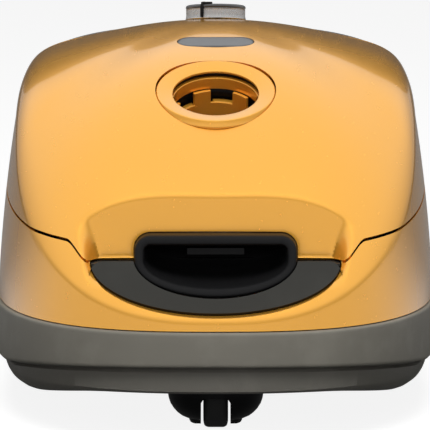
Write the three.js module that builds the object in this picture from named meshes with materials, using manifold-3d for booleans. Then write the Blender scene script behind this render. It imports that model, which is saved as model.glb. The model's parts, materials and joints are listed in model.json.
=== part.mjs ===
// Canister vacuum cleaner: hinged dust lid with the hose port, castor under the nose, power dial on top.
// Millimetres, +Z up, front towards -Y, origin on the floor under the middle of the bumper's outline.
import * as THREE from "three";
import { mergeVertices } from "three/addons/utils/BufferGeometryUtils.js";
import Module from "manifold-3d";

const wasm = await Module();
wasm.setup();

// ---- driving dimensions -------------------------------------------------------------------------
const HALF_WIDTH = 137.6; // body's outline in plan at the bumper's top
const HALF_LENGTH = 229.6;
const NOSE_Y = -HALF_LENGTH;
const TAIL_Y = HALF_LENGTH;
const FRONT_POWER = 2.65; // superellipse powers of the front and rear halves
const REAR_POWER = 3.4;
const WALL = 2.6; // shell thickness
const PANEL_GAP = 1.0; // seam between outer shells
const FIT = 0.35; // clearance of pieces that seat on each other
const RIM_Z = 68.6; // joint between the lower shell and the body shell
const FLOOR_Z = 26; // underside of the lower shell
const TOP_Z = 231.4; // top of the dome
const DOME_Y = 22; // where the dome is highest
const CROWN_RISE = 2; // low swell over the dome's middle, under the dial
const CROWN_HALF = 78;
const CROWN_FRONT_Y = DOME_Y - 62;
const CROWN_REAR_Y = DOME_Y + 108;
const NOSE_CREASE_Z = 74.6; // crease line between dome and side wall: height at the nose
const CREASE_SLOPE = 0.645; // and how it climbs towards the rear
const SHOULDER_Z = 184; // height at which it turns into the shoulder
const SHOULDER_Y = 40;
const TAIL_DROP = 52; // fall of the shoulder to the rear end
const WALL_DRAFT = 0.05; // side wall's lean, and how it grows with height
const WALL_CURVE = 0.0005;
const SEAM_Z = 144; // lid seam's height over the origin, and its slope
const SEAM_SLOPE = 0.146;
const TAIL_SEAM_SLOPE = -0.26;
const LID_REAR_Y = TAIL_Y - 168.4; // rear edge of the lid
const LID_TRAVEL = 70; // degrees that the lid opens
const LID_OPEN_GAP = 0.5; // between the lid's rear edge and the cover as it turns
const HINGE_Y = LID_REAR_Y - 0.7;
const HINGE_Z = TOP_Z - 8.4;
const HINGE_PIN_R = 1.5;
const HINGE_PIN_LENGTH = 46;
const LUG_HALF = 2; // hinge lugs: half thickness, and the places of the lid's and the cover's
const LID_LUG_X = 10;
const COVER_LUG_X = 16;
const KNUCKLE_R = 3.1; // the cover's arms: round the pin, and their length behind it
const ARM_LENGTH = 18;
const BUMPER_OUT = 2.4; // bumper's outer face from the body's outline
const BUMPER_END_OUT = 1.9;
const BUMPER_LOW_Z = 36;
const BUMPER_NOSE_Z = 47.6; // its lower edge rises to this at the nose
const BUMPER_RISE_Y = NOSE_Y + 104.6;
const TUB_INSET = 2.7;
const NOSE_LIFT = 4.8; // the underside rises by this towards the nose
const NOSE_LIFT_START = 94.6; // from this far behind the nose
const NOSE_LIFT_END = 4.6;
const SKID_DROP = 5; // the bead round the underside hangs this far below the floor
const NOSE_FORM_END = 119.6; // the dome's nose form blends into its shoulder form over this stretch
const SHOULDER_FORM_START = 219.6;
const RECESS_HALF_TOP = 86; // lid recess over the pocket, half widths at the brow and at the panel
const RECESS_HALF_LOW = 76;
const BROW_Z = 141;
const RECESS_Y = NOSE_Y + 52.6;
const PANEL_TOP_Z = 105;
const PANEL_LOW_Z = 76.8;
const PANEL_TOP_Y = NOSE_Y + 37.6;
const PANEL_LOW_Y = NOSE_Y + 13.1;
const PANEL_T = 2.6;
const POCKET_HALF = 48.4; // carrying pocket
const POCKET_TOP_Z = 121.5;
const POCKET_LOW_Z = 85;
const POCKET_CORNER = 9.6;
const POCKET_FRONT_TOP_Y = NOSE_Y + 39.6;
const POCKET_FRONT_LOW_Y = NOSE_Y + 24.6;
const POCKET_BACK_Y = NOSE_Y + 79.6;
const POCKET_RIM = 5.6;
const POCKET_BACK_T = 3;
const LEVER_HALF = 17;
const LEVER_T = 2.4;
const PORT_Y = NOSE_Y + 128.6; // hose port, its axis square to the sloping lid
const PORT_PROUD = 0.95; // port's face over the dome's line
const PORT_TILT = 25.7;
const PORT_BORE_R = 26.35;
const PORT_FACE_R = 36;
const PORT_FLARE_R = 38.4;
const PORT_FLARE_DROP = 9;
const PORT_NECK_R = 31.2;
const PORT_NECK_LENGTH = 22;
const SOCKET_LENGTH = 24;
const SOCKET_CLEAR = 0.6; // socket's bore over the port's
const SEAL_T = 3;
const SEAL_GAP = 0.5;
const COLLAR_T = 3;
const COLLAR_HALF = 46;
const WINDOW_Y = PORT_Y + 64;
const TOP_HOLES_Z = 150; // holes through the top start here, over everything inside
const WINDOW_LENGTH = 48;
const WINDOW_WIDTH = 17.7;
const DIAL_Y = LID_REAR_Y + 26.8;
const DIAL_R = 20;
const DIAL_Z = TOP_Z - 2.2; // dial's underside on its axis
const DIAL_LEAN = -8.1; // square to the dome, so it leans back
const DIAL_GAP = 0.8; // dial's underside over its base
const DIAL_BASE_R = DIAL_R - 1.6;
const DIAL_STEM_R = 4;
const DIAL_RING_H = 7.3;
const DIAL_RIDGES = 30;
const DIAL_CAP_H = 2.5;
const BOARD_TOP_Z = DIAL_Z - 25.8; // control board under the dial
const POINTER_TURN = -27; // degrees from the front
const PEDAL_X = 80;
const PEDAL_Y = LID_REAR_Y + 38.8;
const PEDAL_HALF_X = 23;
const PEDAL_HALF_Y = 30;
const PEDAL_PROUD = 0.9;
const PEDAL_T = 4.4;
const PEDAL_STEM_R = 4;
const PEDAL_SEAT_Z = 176;
const SPRING_WIRE_R = 0.8;
const SPRING_TURNS = 3;
const SWITCH_HEIGHT = 12;
const VENT_X = [22, 33, 44.5, 55.5, 67];
const VENT_WIDTH = 3;
const VENT_Y = [LID_REAR_Y + 6.8, LID_REAR_Y + 18.8];
const WHEEL_R = 46;
const WHEEL_Y = TAIL_Y - 117.6;
const WHEEL_IN_X = 103;
const WHEEL_OUT_X = 126;
const WHEEL_ARCH = 4; // room round a rear wheel
const TYRE_T = 5;
const AXLE_R = 4;
const AXLE_PLAY = 0.4;
const CASTOR_Y = NOSE_Y + 67.6;
const CASTOR_R = 29;
const CASTOR_WHEEL_R = 18;
const CASTOR_WHEEL_W = 15;
const CASTOR_TRAIL = 6;
const CASTOR_GAP = 1.5; // beside the castor wheel
const CASTOR_SLOT_Z = 22.7; // top of the slot that the wheel shows through
const CASTOR_WELL_R = 32;
const CASTOR_TOP_Z = 44;
const CASTOR_STEM_R = 7;
const CASTOR_STEM_TOP_Z = 62;
const CASTOR_PIN_R = 1.6;
const CASTOR_PIN_HALF = 16;
const BULKHEAD_Y = NOSE_Y + 217.6; // between the dust compartment and the motor's
const BULKHEAD_T = 3;
const BULKHEAD_TOP_Z = 188;
const FILTER_HALF = 42;
const FILTER_T = 8;
const MOTOR_X = -32;
const MOTOR_Z = 104;
const FAN_R = 62;
const FAN_LENGTH = 36;
const FAN_WALL = 2;
const FAN_INLET_R = 20;
const MOTOR_R = 43;
const MOTOR_LENGTH = 66;
const MOTOR_WALL = 3;
const SHAFT_R = 4;
const IMPELLER_R = 54;
const IMPELLER_BLADES = 9;
const MOUNT_T = 5;
const MOTOR_Y = BULKHEAD_Y + BULKHEAD_T + MOUNT_T + 2; // front of the fan housing
const REAR_MOUNT_AT = 8; // rear rubber ring behind the fan housing
const REEL_X = 66;
const REEL_WIDTH = 36;
const REEL_Y = BULKHEAD_Y + 68;
const REEL_Z = 106;
const REEL_R = 50;
const REEL_HUB_R = 26;
const REEL_FLANGE_T = 2;
const REEL_AXLE_R = 5;
const BRAKE_R = 6;
const BRAKE_Y = 8; // brake roller behind the reel's axle
const BRAKE_GAP = 2;
const GRILLE_HALF = 52;
const GRILLE_LOW_Z = 76;
const GRILLE_TOP_Z = 106;
const GRILLE_SLOTS = 10;
const GRILLE_SLOT_W = 5;
const GRILLE_DEPTH = 79.6; // how far before the tail its cut starts
const EXHAUST_FILTER_Y = TAIL_Y - 27.6;
const EXHAUST_FILTER_T = 12;
const EXHAUST_FILTER_OVER = 6; // over the grille's edges
const EXHAUST_FILTER_HALF = 60;
const OUTLET_X = 72;
const OUTLET_Z = 91;
const OUTLET_R = 11;
const OUTLET_BORE_R = 4.6;
const OUTLET_END = 6.6; // rim's face before the tail
const OUTLET_DEPTH = 33.6;
const PARK_HALF = 17; // parking bracket: slot for the floor tool's hook
const PARK_SLOT_HALF = 9;
const PARK_Y = TAIL_Y - 4.6;
const PARK_LOW_Z = 38;
const PARK_TOP_Z = 64;
const SEGMENTS = 40; // round the body
const FINE = 24; // segments of large, middling and small turned pieces
const ROUND = 16;
const SMALL = 12;

// ---- materials ----------------------------------------------------------------------------------
const finish = (color, roughness, metalness = 0) =>
  new THREE.MeshStandardMaterial({ color, roughness, metalness });
const yellow = finish(0xf0a440, 0.25);
const warmGrey = finish(0x5a5751, 0.5);
const darkGrey = finish(0x46443f, 0.4);
const black = finish(0x1c1c1d, 0.45);
const rubber = finish(0x222222, 0.8);
const steel = finish(0xb8b8ba, 0.3, 1);
const greyBlue = finish(0x757a80, 0.4);
const paleGrey = finish(0xb9babb, 0.6);
const paper = finish(0xe8e4d8, 0.9);
const foam = finish(0x3c4a52, 0.95);
const copper = finish(0xb87333, 0.35, 1);
const board = finish(0x2f6b3a, 0.6);

// ---- tools --------------------------------------------------------------------------------------
const rad = THREE.MathUtils.degToRad;
const at = (x = 0, y = 0, z = 0, rx = 0, ry = 0, rz = 0) =>
  new THREE.Matrix4().makeRotationFromEuler(new THREE.Euler(rad(rx), rad(ry), rad(rz))).setPosition(x, y, z);

// A closed geometry as a solid with its faces pointing out.
function solid(geometry, matrix) {
  const g = geometry.index ? geometry.toNonIndexed() : geometry.clone();
  g.deleteAttribute("normal");
  g.deleteAttribute("uv");
  if (matrix) g.applyMatrix4(matrix);
  const merged = mergeVertices(g, 1e-4);
  const points = merged.attributes.position.array;
  let triangles = [];
  const index = merged.index.array;
  for (let i = 0; i < index.length; i += 3) {
    const [a, b, c] = [index[i], index[i + 1], index[i + 2]];
    if (a !== b && b !== c && c !== a) triangles.push(a, b, c);
  }
  if (signedVolume(points, triangles) < 0) triangles = flipped(triangles);
  const mesh = { numProp: 3, vertProperties: new Float32Array(points), triVerts: new Uint32Array(triangles) };
  return new wasm.Manifold(new wasm.Mesh(mesh));
}

function signedVolume(points, triangles) {
  const [a, b, c] = [new THREE.Vector3(), new THREE.Vector3(), new THREE.Vector3()];
  let total = 0;
  for (let i = 0; i < triangles.length; i += 3) {
    a.fromArray(points, triangles[i] * 3);
    b.fromArray(points, triangles[i + 1] * 3);
    c.fromArray(points, triangles[i + 2] * 3);
    total += a.dot(b.cross(c));
  }
  return total;
}

function flipped(triangles) {
  const out = [];
  for (let i = 0; i < triangles.length; i += 3) out.push(triangles[i], triangles[i + 2], triangles[i + 1]);
  return out;
}

const union = (...solids) => solids.reduce((all, next) => all.add(next));
const without = (whole, ...cuts) => cuts.reduce((rest, cut) => rest.subtract(cut), whole);

function box(x0, x1, y0, y1, z0, z1) {
  const g = new THREE.BoxGeometry(x1 - x0, y1 - y0, z1 - z0);
  return solid(g, at((x0 + x1) / 2, (y0 + y1) / 2, (z0 + z1) / 2));
}

const shapeOf = (points) => new THREE.Shape(points.map(([u, v]) => new THREE.Vector2(u, v)));

// Prisms of a flat outline: (y, z) points along X, (x, z) points along Y, (x, y) points along Z.
function prismX(points, x0, x1) {
  const g = new THREE.ExtrudeGeometry(shapeOf(points), { depth: x1 - x0, bevelEnabled: false });
  const axes = new THREE.Matrix4().makeBasis(
    new THREE.Vector3(0, 1, 0), new THREE.Vector3(0, 0, 1), new THREE.Vector3(1, 0, 0));
  return solid(g, axes.setPosition(x0, 0, 0));
}

function prismY(points, y0, y1) {
  const g = new THREE.ExtrudeGeometry(shapeOf(points), { depth: y1 - y0, bevelEnabled: false });
  const axes = new THREE.Matrix4().makeBasis(
    new THREE.Vector3(1, 0, 0), new THREE.Vector3(0, 0, 1), new THREE.Vector3(0, -1, 0));
  return solid(g, axes.setPosition(0, y1, 0));
}

function prismZ(points, z0, z1) {
  const g = new THREE.ExtrudeGeometry(shapeOf(points), { depth: z1 - z0, bevelEnabled: false });
  return solid(g, at(0, 0, z0));
}

// A turned solid about local Z from a closed (radius, height) profile.
function turned(profile, matrix = at(), segments = ROUND) {
  const points = profile.map(([r, h]) => new THREE.Vector2(r, h));
  if (profile.every(([r]) => r > 0)) points.push(points[0].clone());
  const g = new THREE.LatheGeometry(points, segments);
  return solid(g, matrix.clone().multiply(at(0, 0, 0, 90)));
}

const rod = (radius, h0, h1, matrix, segments) =>
  turned([[0, h0], [radius, h0], [radius, h1], [0, h1]], matrix, segments);
const tube = (inner, outer, h0, h1, matrix, segments) =>
  turned([[inner, h0], [outer, h0], [outer, h1], [inner, h1]], matrix, segments);

function oval(halfX, halfY, x, y, steps = ROUND) {
  const points = [];
  for (let i = 0; i < steps; i += 1) {
    const turn = (i / steps) * Math.PI * 2;
    points.push([x + halfX * Math.cos(turn), y + halfY * Math.sin(turn)]);
  }
  return points;
}

function pill(length, width, x, y, steps = 8) {
  const points = [];
  for (const side of [1, -1]) {
    for (let i = 0; i <= steps; i += 1) {
      const turn = side * (-Math.PI / 2) + (i / steps) * Math.PI;
      const centre = (side * (length - width)) / 2;
      points.push([x + centre + (width / 2) * Math.cos(turn), y + (width / 2) * Math.sin(turn)]);
    }
  }
  return points;
}

const model = new THREE.Group();

function addPiece(name, piece, material, parent = model) {
  const mesh = piece.getMesh();
  const g = new THREE.BufferGeometry();
  g.setAttribute("position", new THREE.BufferAttribute(new Float32Array(mesh.vertProperties), 3));
  g.setIndex(new THREE.BufferAttribute(new Uint32Array(mesh.triVerts), 1));
  g.computeVertexNormals();
  const node = new THREE.Mesh(g, material);
  node.name = name;
  parent.add(node);
  return node;
}

// ---- the body's outer form ----------------------------------------------------------------------
function outlinePoint(turn, inset) {
  const [s, c] = [Math.sin(turn), Math.cos(turn)];
  const power = c > 0 ? FRONT_POWER : REAR_POWER;
  const reach = (Math.abs(s) ** power + Math.abs(c) ** power) ** (-1 / power);
  return [(HALF_WIDTH - inset) * reach * s, -(HALF_LENGTH - inset) * reach * c];
}

const wallInset = (z) => WALL_DRAFT * (z - RIM_Z) + WALL_CURVE * (z - RIM_Z) ** 2;

function smoothMin(a, b, width) {
  const h = Math.max(width - Math.abs(a - b), 0) / width;
  return Math.min(a, b) - (h * h * width) / 4;
}

function creaseHeight(y) {
  const rise = NOSE_CREASE_Z + CREASE_SLOPE * (y + HALF_LENGTH);
  const fall = Math.max(0, (y - SHOULDER_Y) / (HALF_LENGTH - SHOULDER_Y));
  return smoothMin(rise, SHOULDER_Z - TAIL_DROP * fall * fall, 30);
}

function creasePoint(turn, offset) {
  let z = RIM_Z;
  for (let i = 0; i < 40; i += 1) z = (z + creaseHeight(outlinePoint(turn, wallInset(z))[1])) / 2;
  return [...outlinePoint(turn, wallInset(z) + offset), z - offset / 3];
}

// Height of the dome between the crease (share 1) and its top (share 0).
function domeShare(share, turn, creaseY) {
  const side = Math.sin(turn) ** 2;
  const k = 0.5 + 0.4 * Math.min(1, 3 * side);
  const edge = Math.sqrt(1 - k);
  const front = (Math.sqrt(1 - k * share * share) - edge) / (1 - edge);
  const power = Math.cos(turn) > 0 ? 20 : 8 + 12 * side;
  const shoulder = 0.45 * (1 - share * share) + 0.55 * Math.sqrt(1 - share ** power);
  const mix = THREE.MathUtils.smoothstep(creaseY, NOSE_Y + NOSE_FORM_END, NOSE_Y + SHOULDER_FORM_START);
  return front * (1 - mix) + shoulder * mix;
}

const DOME_SHARES = [0.98, 0.93, 0.84, 0.69, 0.5, 0.32, 0.15];

function crown(x, y) {
  const across = Math.max(0, 1 - (x / CROWN_HALF) ** 2) ** 2;
  const front = THREE.MathUtils.smoothstep(y, CROWN_FRONT_Y, DOME_Y + 8);
  return CROWN_RISE * across * front * (1 - THREE.MathUtils.smoothstep(y, LID_REAR_Y, CROWN_REAR_Y));
}

// The whole closed body, its faces moved in by offset.
function bodyForm(offset) {
  const rings = [];
  const flatRing = (z, inset, lift = 0) => {
    rings.push(Array.from({ length: SEGMENTS }, (_, i) => {
      const [x, y] = outlinePoint((i / SEGMENTS) * Math.PI * 2, inset + offset);
      const rise = THREE.MathUtils.smoothstep(-y, HALF_LENGTH - NOSE_LIFT_START, HALF_LENGTH - NOSE_LIFT_END);
      return [x, y, z + lift * rise];
    }));
  };
  const skidZ = FLOOR_Z - SKID_DROP + offset;
  const skidLift = NOSE_LIFT + SKID_DROP;
  flatRing(FLOOR_Z + offset, 34, NOSE_LIFT);
  flatRing(skidZ, 19, skidLift);
  flatRing(skidZ + 0.4, 11, skidLift);
  flatRing(skidZ + 3, 5.6, skidLift * 0.8);
  flatRing(skidZ + 10, 3.4, skidLift * 0.3);
  flatRing(skidZ + 15, TUB_INSET);
  flatRing(RIM_Z - 0.2, TUB_INSET);
  flatRing(RIM_Z + 0.2, 0);
  const turns = Array.from({ length: SEGMENTS }, (_, i) => (i / SEGMENTS) * Math.PI * 2);
  const creases = turns.map((turn) => creasePoint(turn, offset));
  for (const part of [0.4, 0.75]) {
    rings.push(turns.map((turn, i) => {
      const z = RIM_Z + (creases[i][2] - RIM_Z) * part;
      return [...outlinePoint(turn, wallInset(z) + offset), z];
    }));
  }
  rings.push(creases);
  for (const share of DOME_SHARES) {
    rings.push(turns.map((turn, i) => {
      const [x, y, z] = creases[i];
      const rise = (TOP_Z - offset - z) * domeShare(share, turn, y);
      const [domeX, domeY] = [x * share, DOME_Y + (y - DOME_Y) * share];
      return [domeX, domeY, z + rise + crown(domeX, domeY)];
    }));
  }
  return closedRings(rings, [0, 0, FLOOR_Z + offset], [0, DOME_Y, TOP_Z - offset + crown(0, DOME_Y)]);
}

function closedRings(rings, first, last) {
  const points = [first, ...rings.flat(), last];
  const count = rings[0].length;
  const index = [];
  const id = (ring, i) => 1 + ring * count + (i % count);
  for (let i = 0; i < count; i += 1) {
    index.push(0, id(0, i + 1), id(0, i));
    for (let ring = 0; ring < rings.length - 1; ring += 1) {
      index.push(id(ring, i), id(ring, i + 1), id(ring + 1, i + 1));
      index.push(id(ring, i), id(ring + 1, i + 1), id(ring + 1, i));
    }
    index.push(id(rings.length - 1, i), id(rings.length - 1, i + 1), points.length - 1);
  }
  const g = new THREE.BufferGeometry();
  g.setAttribute("position", new THREE.BufferAttribute(new Float32Array(points.flat()), 3));
  g.setIndex(index);
  return solid(g);
}

// Height of the outer dome over a point of the plan.
function domeHeight(x, y) {
  const aim = Math.atan2(Math.abs(x), DOME_Y - y);
  let [low, high] = [0, Math.PI];
  for (let i = 0; i < 40; i += 1) {
    const [cx, cy] = creasePoint((low + high) / 2, 0);
    if (Math.atan2(cx, DOME_Y - cy) < aim) low = (low + high) / 2;
    else high = (low + high) / 2;
  }
  const [cx, cy, cz] = creasePoint(low, 0);
  const share = Math.hypot(x, y - DOME_Y) / Math.hypot(cx, cy - DOME_Y);
  return cz + (TOP_Z - cz) * domeShare(share, low, cy) + crown(x, y);
}

const FAR = 400;
const outerForm = bodyForm(0);
const innerForm = bodyForm(WALL);
const proudForm = bodyForm(-FIT);

// ---- recess over the carrying pocket --------------------------------------------------------------
function recessOutline(grow) {
  const low = RECESS_HALF_LOW + grow;
  const points = [[-RECESS_HALF_TOP - grow, FAR], [-RECESS_HALF_TOP - grow, BROW_Z]];
  for (let i = 0; i <= 18; i += 1) {
    const turn = Math.PI + (i / 18) * Math.PI;
    points.push([low * Math.cos(turn), PANEL_TOP_Z + (PANEL_TOP_Z - PANEL_LOW_Z + grow) * Math.sin(turn)]);
  }
  points.push([RECESS_HALF_TOP + grow, BROW_Z], [RECESS_HALF_TOP + grow, FAR]);
  return points;
}

// Profile of the panel's face moved in by depth: level ledge, then the slope down to the lip.
function panelLine(depth) {
  const slope = new THREE.Vector2(PANEL_LOW_Y - PANEL_TOP_Y, PANEL_LOW_Z - PANEL_TOP_Z).normalize();
  const inward = new THREE.Vector2(-slope.y, slope.x).multiplyScalar(depth);
  const bend = PANEL_TOP_Y + inward.x - ((inward.y + depth) * slope.x) / slope.y;
  const length = 60;
  return [[bend, PANEL_TOP_Z - depth], [bend + slope.x * length, PANEL_TOP_Z - depth + slope.y * length]];
}

function recess(grow) {
  const [bend, foot] = panelLine(PANEL_T + FIT + grow);
  const front = RECESS_Y + grow;
  const profile = [[-FAR, FAR], [front, FAR], [front, bend[1]], bend, foot, [-FAR, foot[1]]];
  return prismY(recessOutline(grow), -FAR, 0).intersect(prismX(profile, -FAR / 2, FAR / 2));
}

// ---- wheel arches, castor well --------------------------------------------------------------------
const archAt = (side, grow) =>
  rod(WHEEL_R + WHEEL_ARCH + grow, WHEEL_IN_X - WHEEL_ARCH - grow, HALF_WIDTH + 30,
    at(0, WHEEL_Y, WHEEL_R, 0, side * 90, 0), FINE);
const archSlot = (side, grow) => {
  const reach = WHEEL_R + WHEEL_ARCH + grow;
  const [near, far] = [WHEEL_IN_X - WHEEL_ARCH - grow, HALF_WIDTH + 30];
  const xs = side > 0 ? [near, far] : [-far, -near];
  return box(xs[0], xs[1], WHEEL_Y - reach, WHEEL_Y + reach, -10, WHEEL_R);
};
const wheelRoom = (grow) => union(archAt(1, grow), archAt(-1, grow), archSlot(1, grow), archSlot(-1, grow));
const castorWell = (grow) =>
  rod(CASTOR_WELL_R + grow, -10, CASTOR_TOP_Z + 2 + grow, at(0, CASTOR_Y, 0), FINE);

const hollow = (() => {
  const outer = without(outerForm, recess(0), wheelRoom(0), castorWell(0));
  const inner = without(innerForm, recess(WALL), wheelRoom(WALL), castorWell(WALL));
  return outer.subtract(inner);
})();

// ---- seams ------------------------------------------------------------------------------------------
const seamZ = (y) => SEAM_Z + SEAM_SLOPE * y;
const tailSeamZ = (y) => seamZ(LID_REAR_Y) + TAIL_SEAM_SLOPE * (y - LID_REAR_Y);

function lidRegion(gap) {
  const above = prismX(
    [[-FAR, seamZ(-FAR) + gap], [LID_REAR_Y, seamZ(LID_REAR_Y) + gap], [LID_REAR_Y, FAR], [-FAR, FAR]],
    -FAR / 2, FAR / 2);
  const apron = prismY(recessOutline(WALL), RECESS_Y - 23, RECESS_Y + WALL + 3);
  return union(above, apron.intersect(box(-FAR, FAR, -FAR, FAR, PANEL_TOP_Z + gap, BROW_Z)));
}

const coverRegion = (gap) => prismX(
  [[LID_REAR_Y + gap, tailSeamZ(LID_REAR_Y) + gap], [FAR, tailSeamZ(FAR) + gap], [FAR, FAR],
    [LID_REAR_Y + gap, FAR]],
  -FAR / 2, FAR / 2);
const upperHalf = (z) => box(-FAR / 2, FAR / 2, -FAR, FAR, z, FAR);
const lowerHalf = (z) => box(-FAR / 2, FAR / 2, -FAR, FAR, -FAR, z);

// ---- carrying pocket ----------------------------------------------------------------------------------
function pocketOutline(grow) {
  const half = POCKET_HALF + grow;
  const top = POCKET_TOP_Z + grow;
  const corner = POCKET_CORNER + grow;
  const waist = POCKET_LOW_Z + (POCKET_TOP_Z - POCKET_LOW_Z) * 0.6;
  const points = [];
  for (let i = 0; i <= 14; i += 1) {
    const turn = Math.PI + (i / 14) * Math.PI;
    points.push([half * Math.cos(turn), waist + (waist - POCKET_LOW_Z + grow) * Math.sin(turn)]);
  }
  for (const [side, start] of [[1, 0], [-1, Math.PI / 2]]) {
    for (let i = 0; i <= 4; i += 1) {
      const turn = start + (i / 4) * (Math.PI / 2);
      points.push([side * (half - corner) + corner * Math.cos(turn), top - corner + corner * Math.sin(turn)]);
    }
  }
  return points;
}

const pocketRoom = (grow) => prismY(pocketOutline(grow), -FAR, POCKET_BACK_Y + grow);

function pocketPiece() {
  const lean = (POCKET_FRONT_TOP_Y - POCKET_FRONT_LOW_Y) / (POCKET_TOP_Z - POCKET_LOW_Z);
  const faceY = (z) => POCKET_FRONT_TOP_Y + (z - POCKET_TOP_Z) * lean;
  const side = [[faceY(60), 60], [POCKET_BACK_Y, 60], [POCKET_BACK_Y, 140], [faceY(140), 140]];
  const block = prismY(pocketOutline(0), -FAR, POCKET_BACK_Y).intersect(prismX(side, -FAR / 4, FAR / 4));
  const cavity = prismY(pocketOutline(-POCKET_RIM), -FAR, POCKET_BACK_Y - POCKET_BACK_T);
  return block.subtract(cavity);
}

// ---- hose port ----------------------------------------------------------------------------------------
const PORT_Z = domeHeight(0, PORT_Y) + PORT_PROUD;
const portFrame = at(0, PORT_Y, PORT_Z, PORT_TILT);
const dialFrame = at(0, DIAL_Y, DIAL_Z, DIAL_LEAN);
const socketTop = -PORT_NECK_LENGTH - FIT;
const sealTop = socketTop - SOCKET_LENGTH - FIT;
const collarTop = sealTop - SEAL_T - SEAL_GAP;

function portRing() {
  const flange = turned(
    [[PORT_BORE_R, 0], [PORT_FACE_R, 0], [PORT_FLARE_R, -PORT_FLARE_DROP], [PORT_BORE_R, -PORT_FLARE_DROP]],
    portFrame, FINE).subtract(proudForm);
  const neck = tube(PORT_BORE_R, PORT_NECK_R, -PORT_NECK_LENGTH, -1.2, portFrame, FINE);
  return flange.add(neck);
}

function portSocket() {
  const sleeve = tube(
    PORT_BORE_R + SOCKET_CLEAR, PORT_NECK_R, socketTop - SOCKET_LENGTH, socketTop, portFrame, FINE);
  const windows = [0, 90, 180, 270].map((turn) => {
    const frame = portFrame.clone().multiply(at(0, 0, 0, 0, 0, turn));
    return solid(new THREE.BoxGeometry(12, 14, 9), frame.multiply(at(0, PORT_NECK_R, socketTop - 10)));
  });
  return without(sleeve, ...windows);
}

// ---- outer shells -------------------------------------------------------------------------------------
const hingeLine = at(0, HINGE_Y, HINGE_Z, 0, 90, 0);
// Reach from the hinge line of what sinks into the cover while the lid opens, in the plane at x.
function turnReach(x) {
  const open = rad(LID_TRAVEL);
  let reach = 0;
  for (let y = LID_REAR_Y; y > LID_REAR_Y - 16; y -= 1) {
    const [dy, dz] = [y - HINGE_Y, domeHeight(x, y) - HINGE_Z];
    const turnedY = dy * Math.cos(open) + dz * Math.sin(open);
    const turnedZ = dz * Math.cos(open) - dy * Math.sin(open);
    const sinks = turnedY > 0 && turnedZ < domeHeight(x, HINGE_Y + turnedY) - HINGE_Z;
    if (dz > 0 && (sinks || y === LID_REAR_Y)) reach = Math.max(reach, Math.hypot(dy, dz));
  }
  return reach;
}

// Room for the lid's rear edge to turn in, round the hinge line.
const hingeTurnRoom = (() => {
  const half = 72;
  const profile = [[0, -half]];
  for (let i = 0; i <= 8; i += 1) {
    const x = (i / 4 - 1) * half;
    profile.push([turnReach(x) + LID_OPEN_GAP, x]);
  }
  return turned([...profile, [0, half]], hingeLine, FINE);
})();
const windowRoom = (gap) =>
  prismZ(pill(WINDOW_LENGTH + gap * 2, WINDOW_WIDTH + gap * 2, 0, WINDOW_Y), TOP_HOLES_Z, FAR);
const HOOK_X = 62;
const HOOK_HALF = 4;
const HOOK_TRAVEL = 11;
const hookSlots = [-1, 1].map((side) =>
  box(side * HOOK_X - HOOK_HALF - 1, side * HOOK_X + HOOK_HALF + 1,
    RECESS_Y - HOOK_TRAVEL, RECESS_Y + WALL + 5, PANEL_TOP_Z - 12, PANEL_TOP_Z + 1));

function lidPiece() {
  const shell = hollow.intersect(lidRegion(PANEL_GAP / 2));
  const lugs = [-1, 1].map((side) => {
    const x = side * LID_LUG_X;
    return box(x - LUG_HALF, x + LUG_HALF, HINGE_Y - 4, HINGE_Y + 0.6, HINGE_Z - 2.6, TOP_Z - WALL);
  });
  const pinRoom = rod(HINGE_PIN_R + FIT, -FAR / 8, FAR / 8, hingeLine, SMALL);
  const openings = [
    rod(PORT_NECK_R + FIT, -40, 20, portFrame, FINE), windowRoom(FIT), pocketRoom(PANEL_GAP), pinRoom];
  return without(union(shell, ...lugs.map((lug) => lug.intersect(innerForm.add(shell)))), ...openings);
}

function bodyPiece() {
  const above = hollow.intersect(upperHalf(RIM_Z + FIT));
  const shell = without(above, lidRegion(-PANEL_GAP / 2), coverRegion(-PANEL_GAP / 2));
  return without(shell, pocketRoom(FIT), grilleRegion(FIT), outletRoom, ...hookSlots);
}

function coverPiece() {
  const shell = hollow.intersect(coverRegion(PANEL_GAP / 2));
  // Arms that carry the pin, low enough behind it for the lid's rear edge to turn over them.
  const arms = [-1, 1].map((side) => {
    const [x0, x1] = [side * COVER_LUG_X - LUG_HALF, side * COVER_LUG_X + LUG_HALF];
    const knuckle = rod(KNUCKLE_R, x0, x1, hingeLine, SMALL);
    const arm = box(x0, x1, HINGE_Y, HINGE_Y + ARM_LENGTH, HINGE_Z - KNUCKLE_R, HINGE_Z - 0.6);
    const riser = box(x0, x1, HINGE_Y + ARM_LENGTH - 5, HINGE_Y + ARM_LENGTH, HINGE_Z - KNUCKLE_R, TOP_Z);
    return union(knuckle, arm, riser.intersect(innerForm.add(shell)));
  });
  const pinRoom = rod(HINGE_PIN_R + FIT, -FAR / 8, FAR / 8, hingeLine, SMALL);
  const vents = VENT_X.flatMap((x) => [x, -x]).map((x) =>
    solid(new THREE.BoxGeometry(VENT_WIDTH, VENT_Y[1] - VENT_Y[0], 60),
      at(x, (VENT_Y[0] + VENT_Y[1]) / 2, TOP_Z, 0, 0, -x / 4)));
  const pedalHoles = [-1, 1].map((side) =>
    prismZ(oval(PEDAL_HALF_X + PANEL_GAP, PEDAL_HALF_Y + PANEL_GAP, side * PEDAL_X, PEDAL_Y),
      TOP_HOLES_Z, FAR));
  const dialHole = rod(DIAL_STEM_R + 2, -30, 30, dialFrame, ROUND);
  const dialSeat = union(
    tube(DIAL_BASE_R - 2, DIAL_BASE_R, -DIAL_GAP - 14, -DIAL_GAP, dialFrame, ROUND),
    rod(DIAL_BASE_R, -DIAL_GAP - 1.8, -DIAL_GAP, dialFrame, ROUND)).subtract(innerForm);
  const turnedClear = without(union(shell, dialSeat), hingeTurnRoom, ...vents, ...pedalHoles, dialHole);
  return without(union(turnedClear, ...arms), pinRoom);
}

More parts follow.
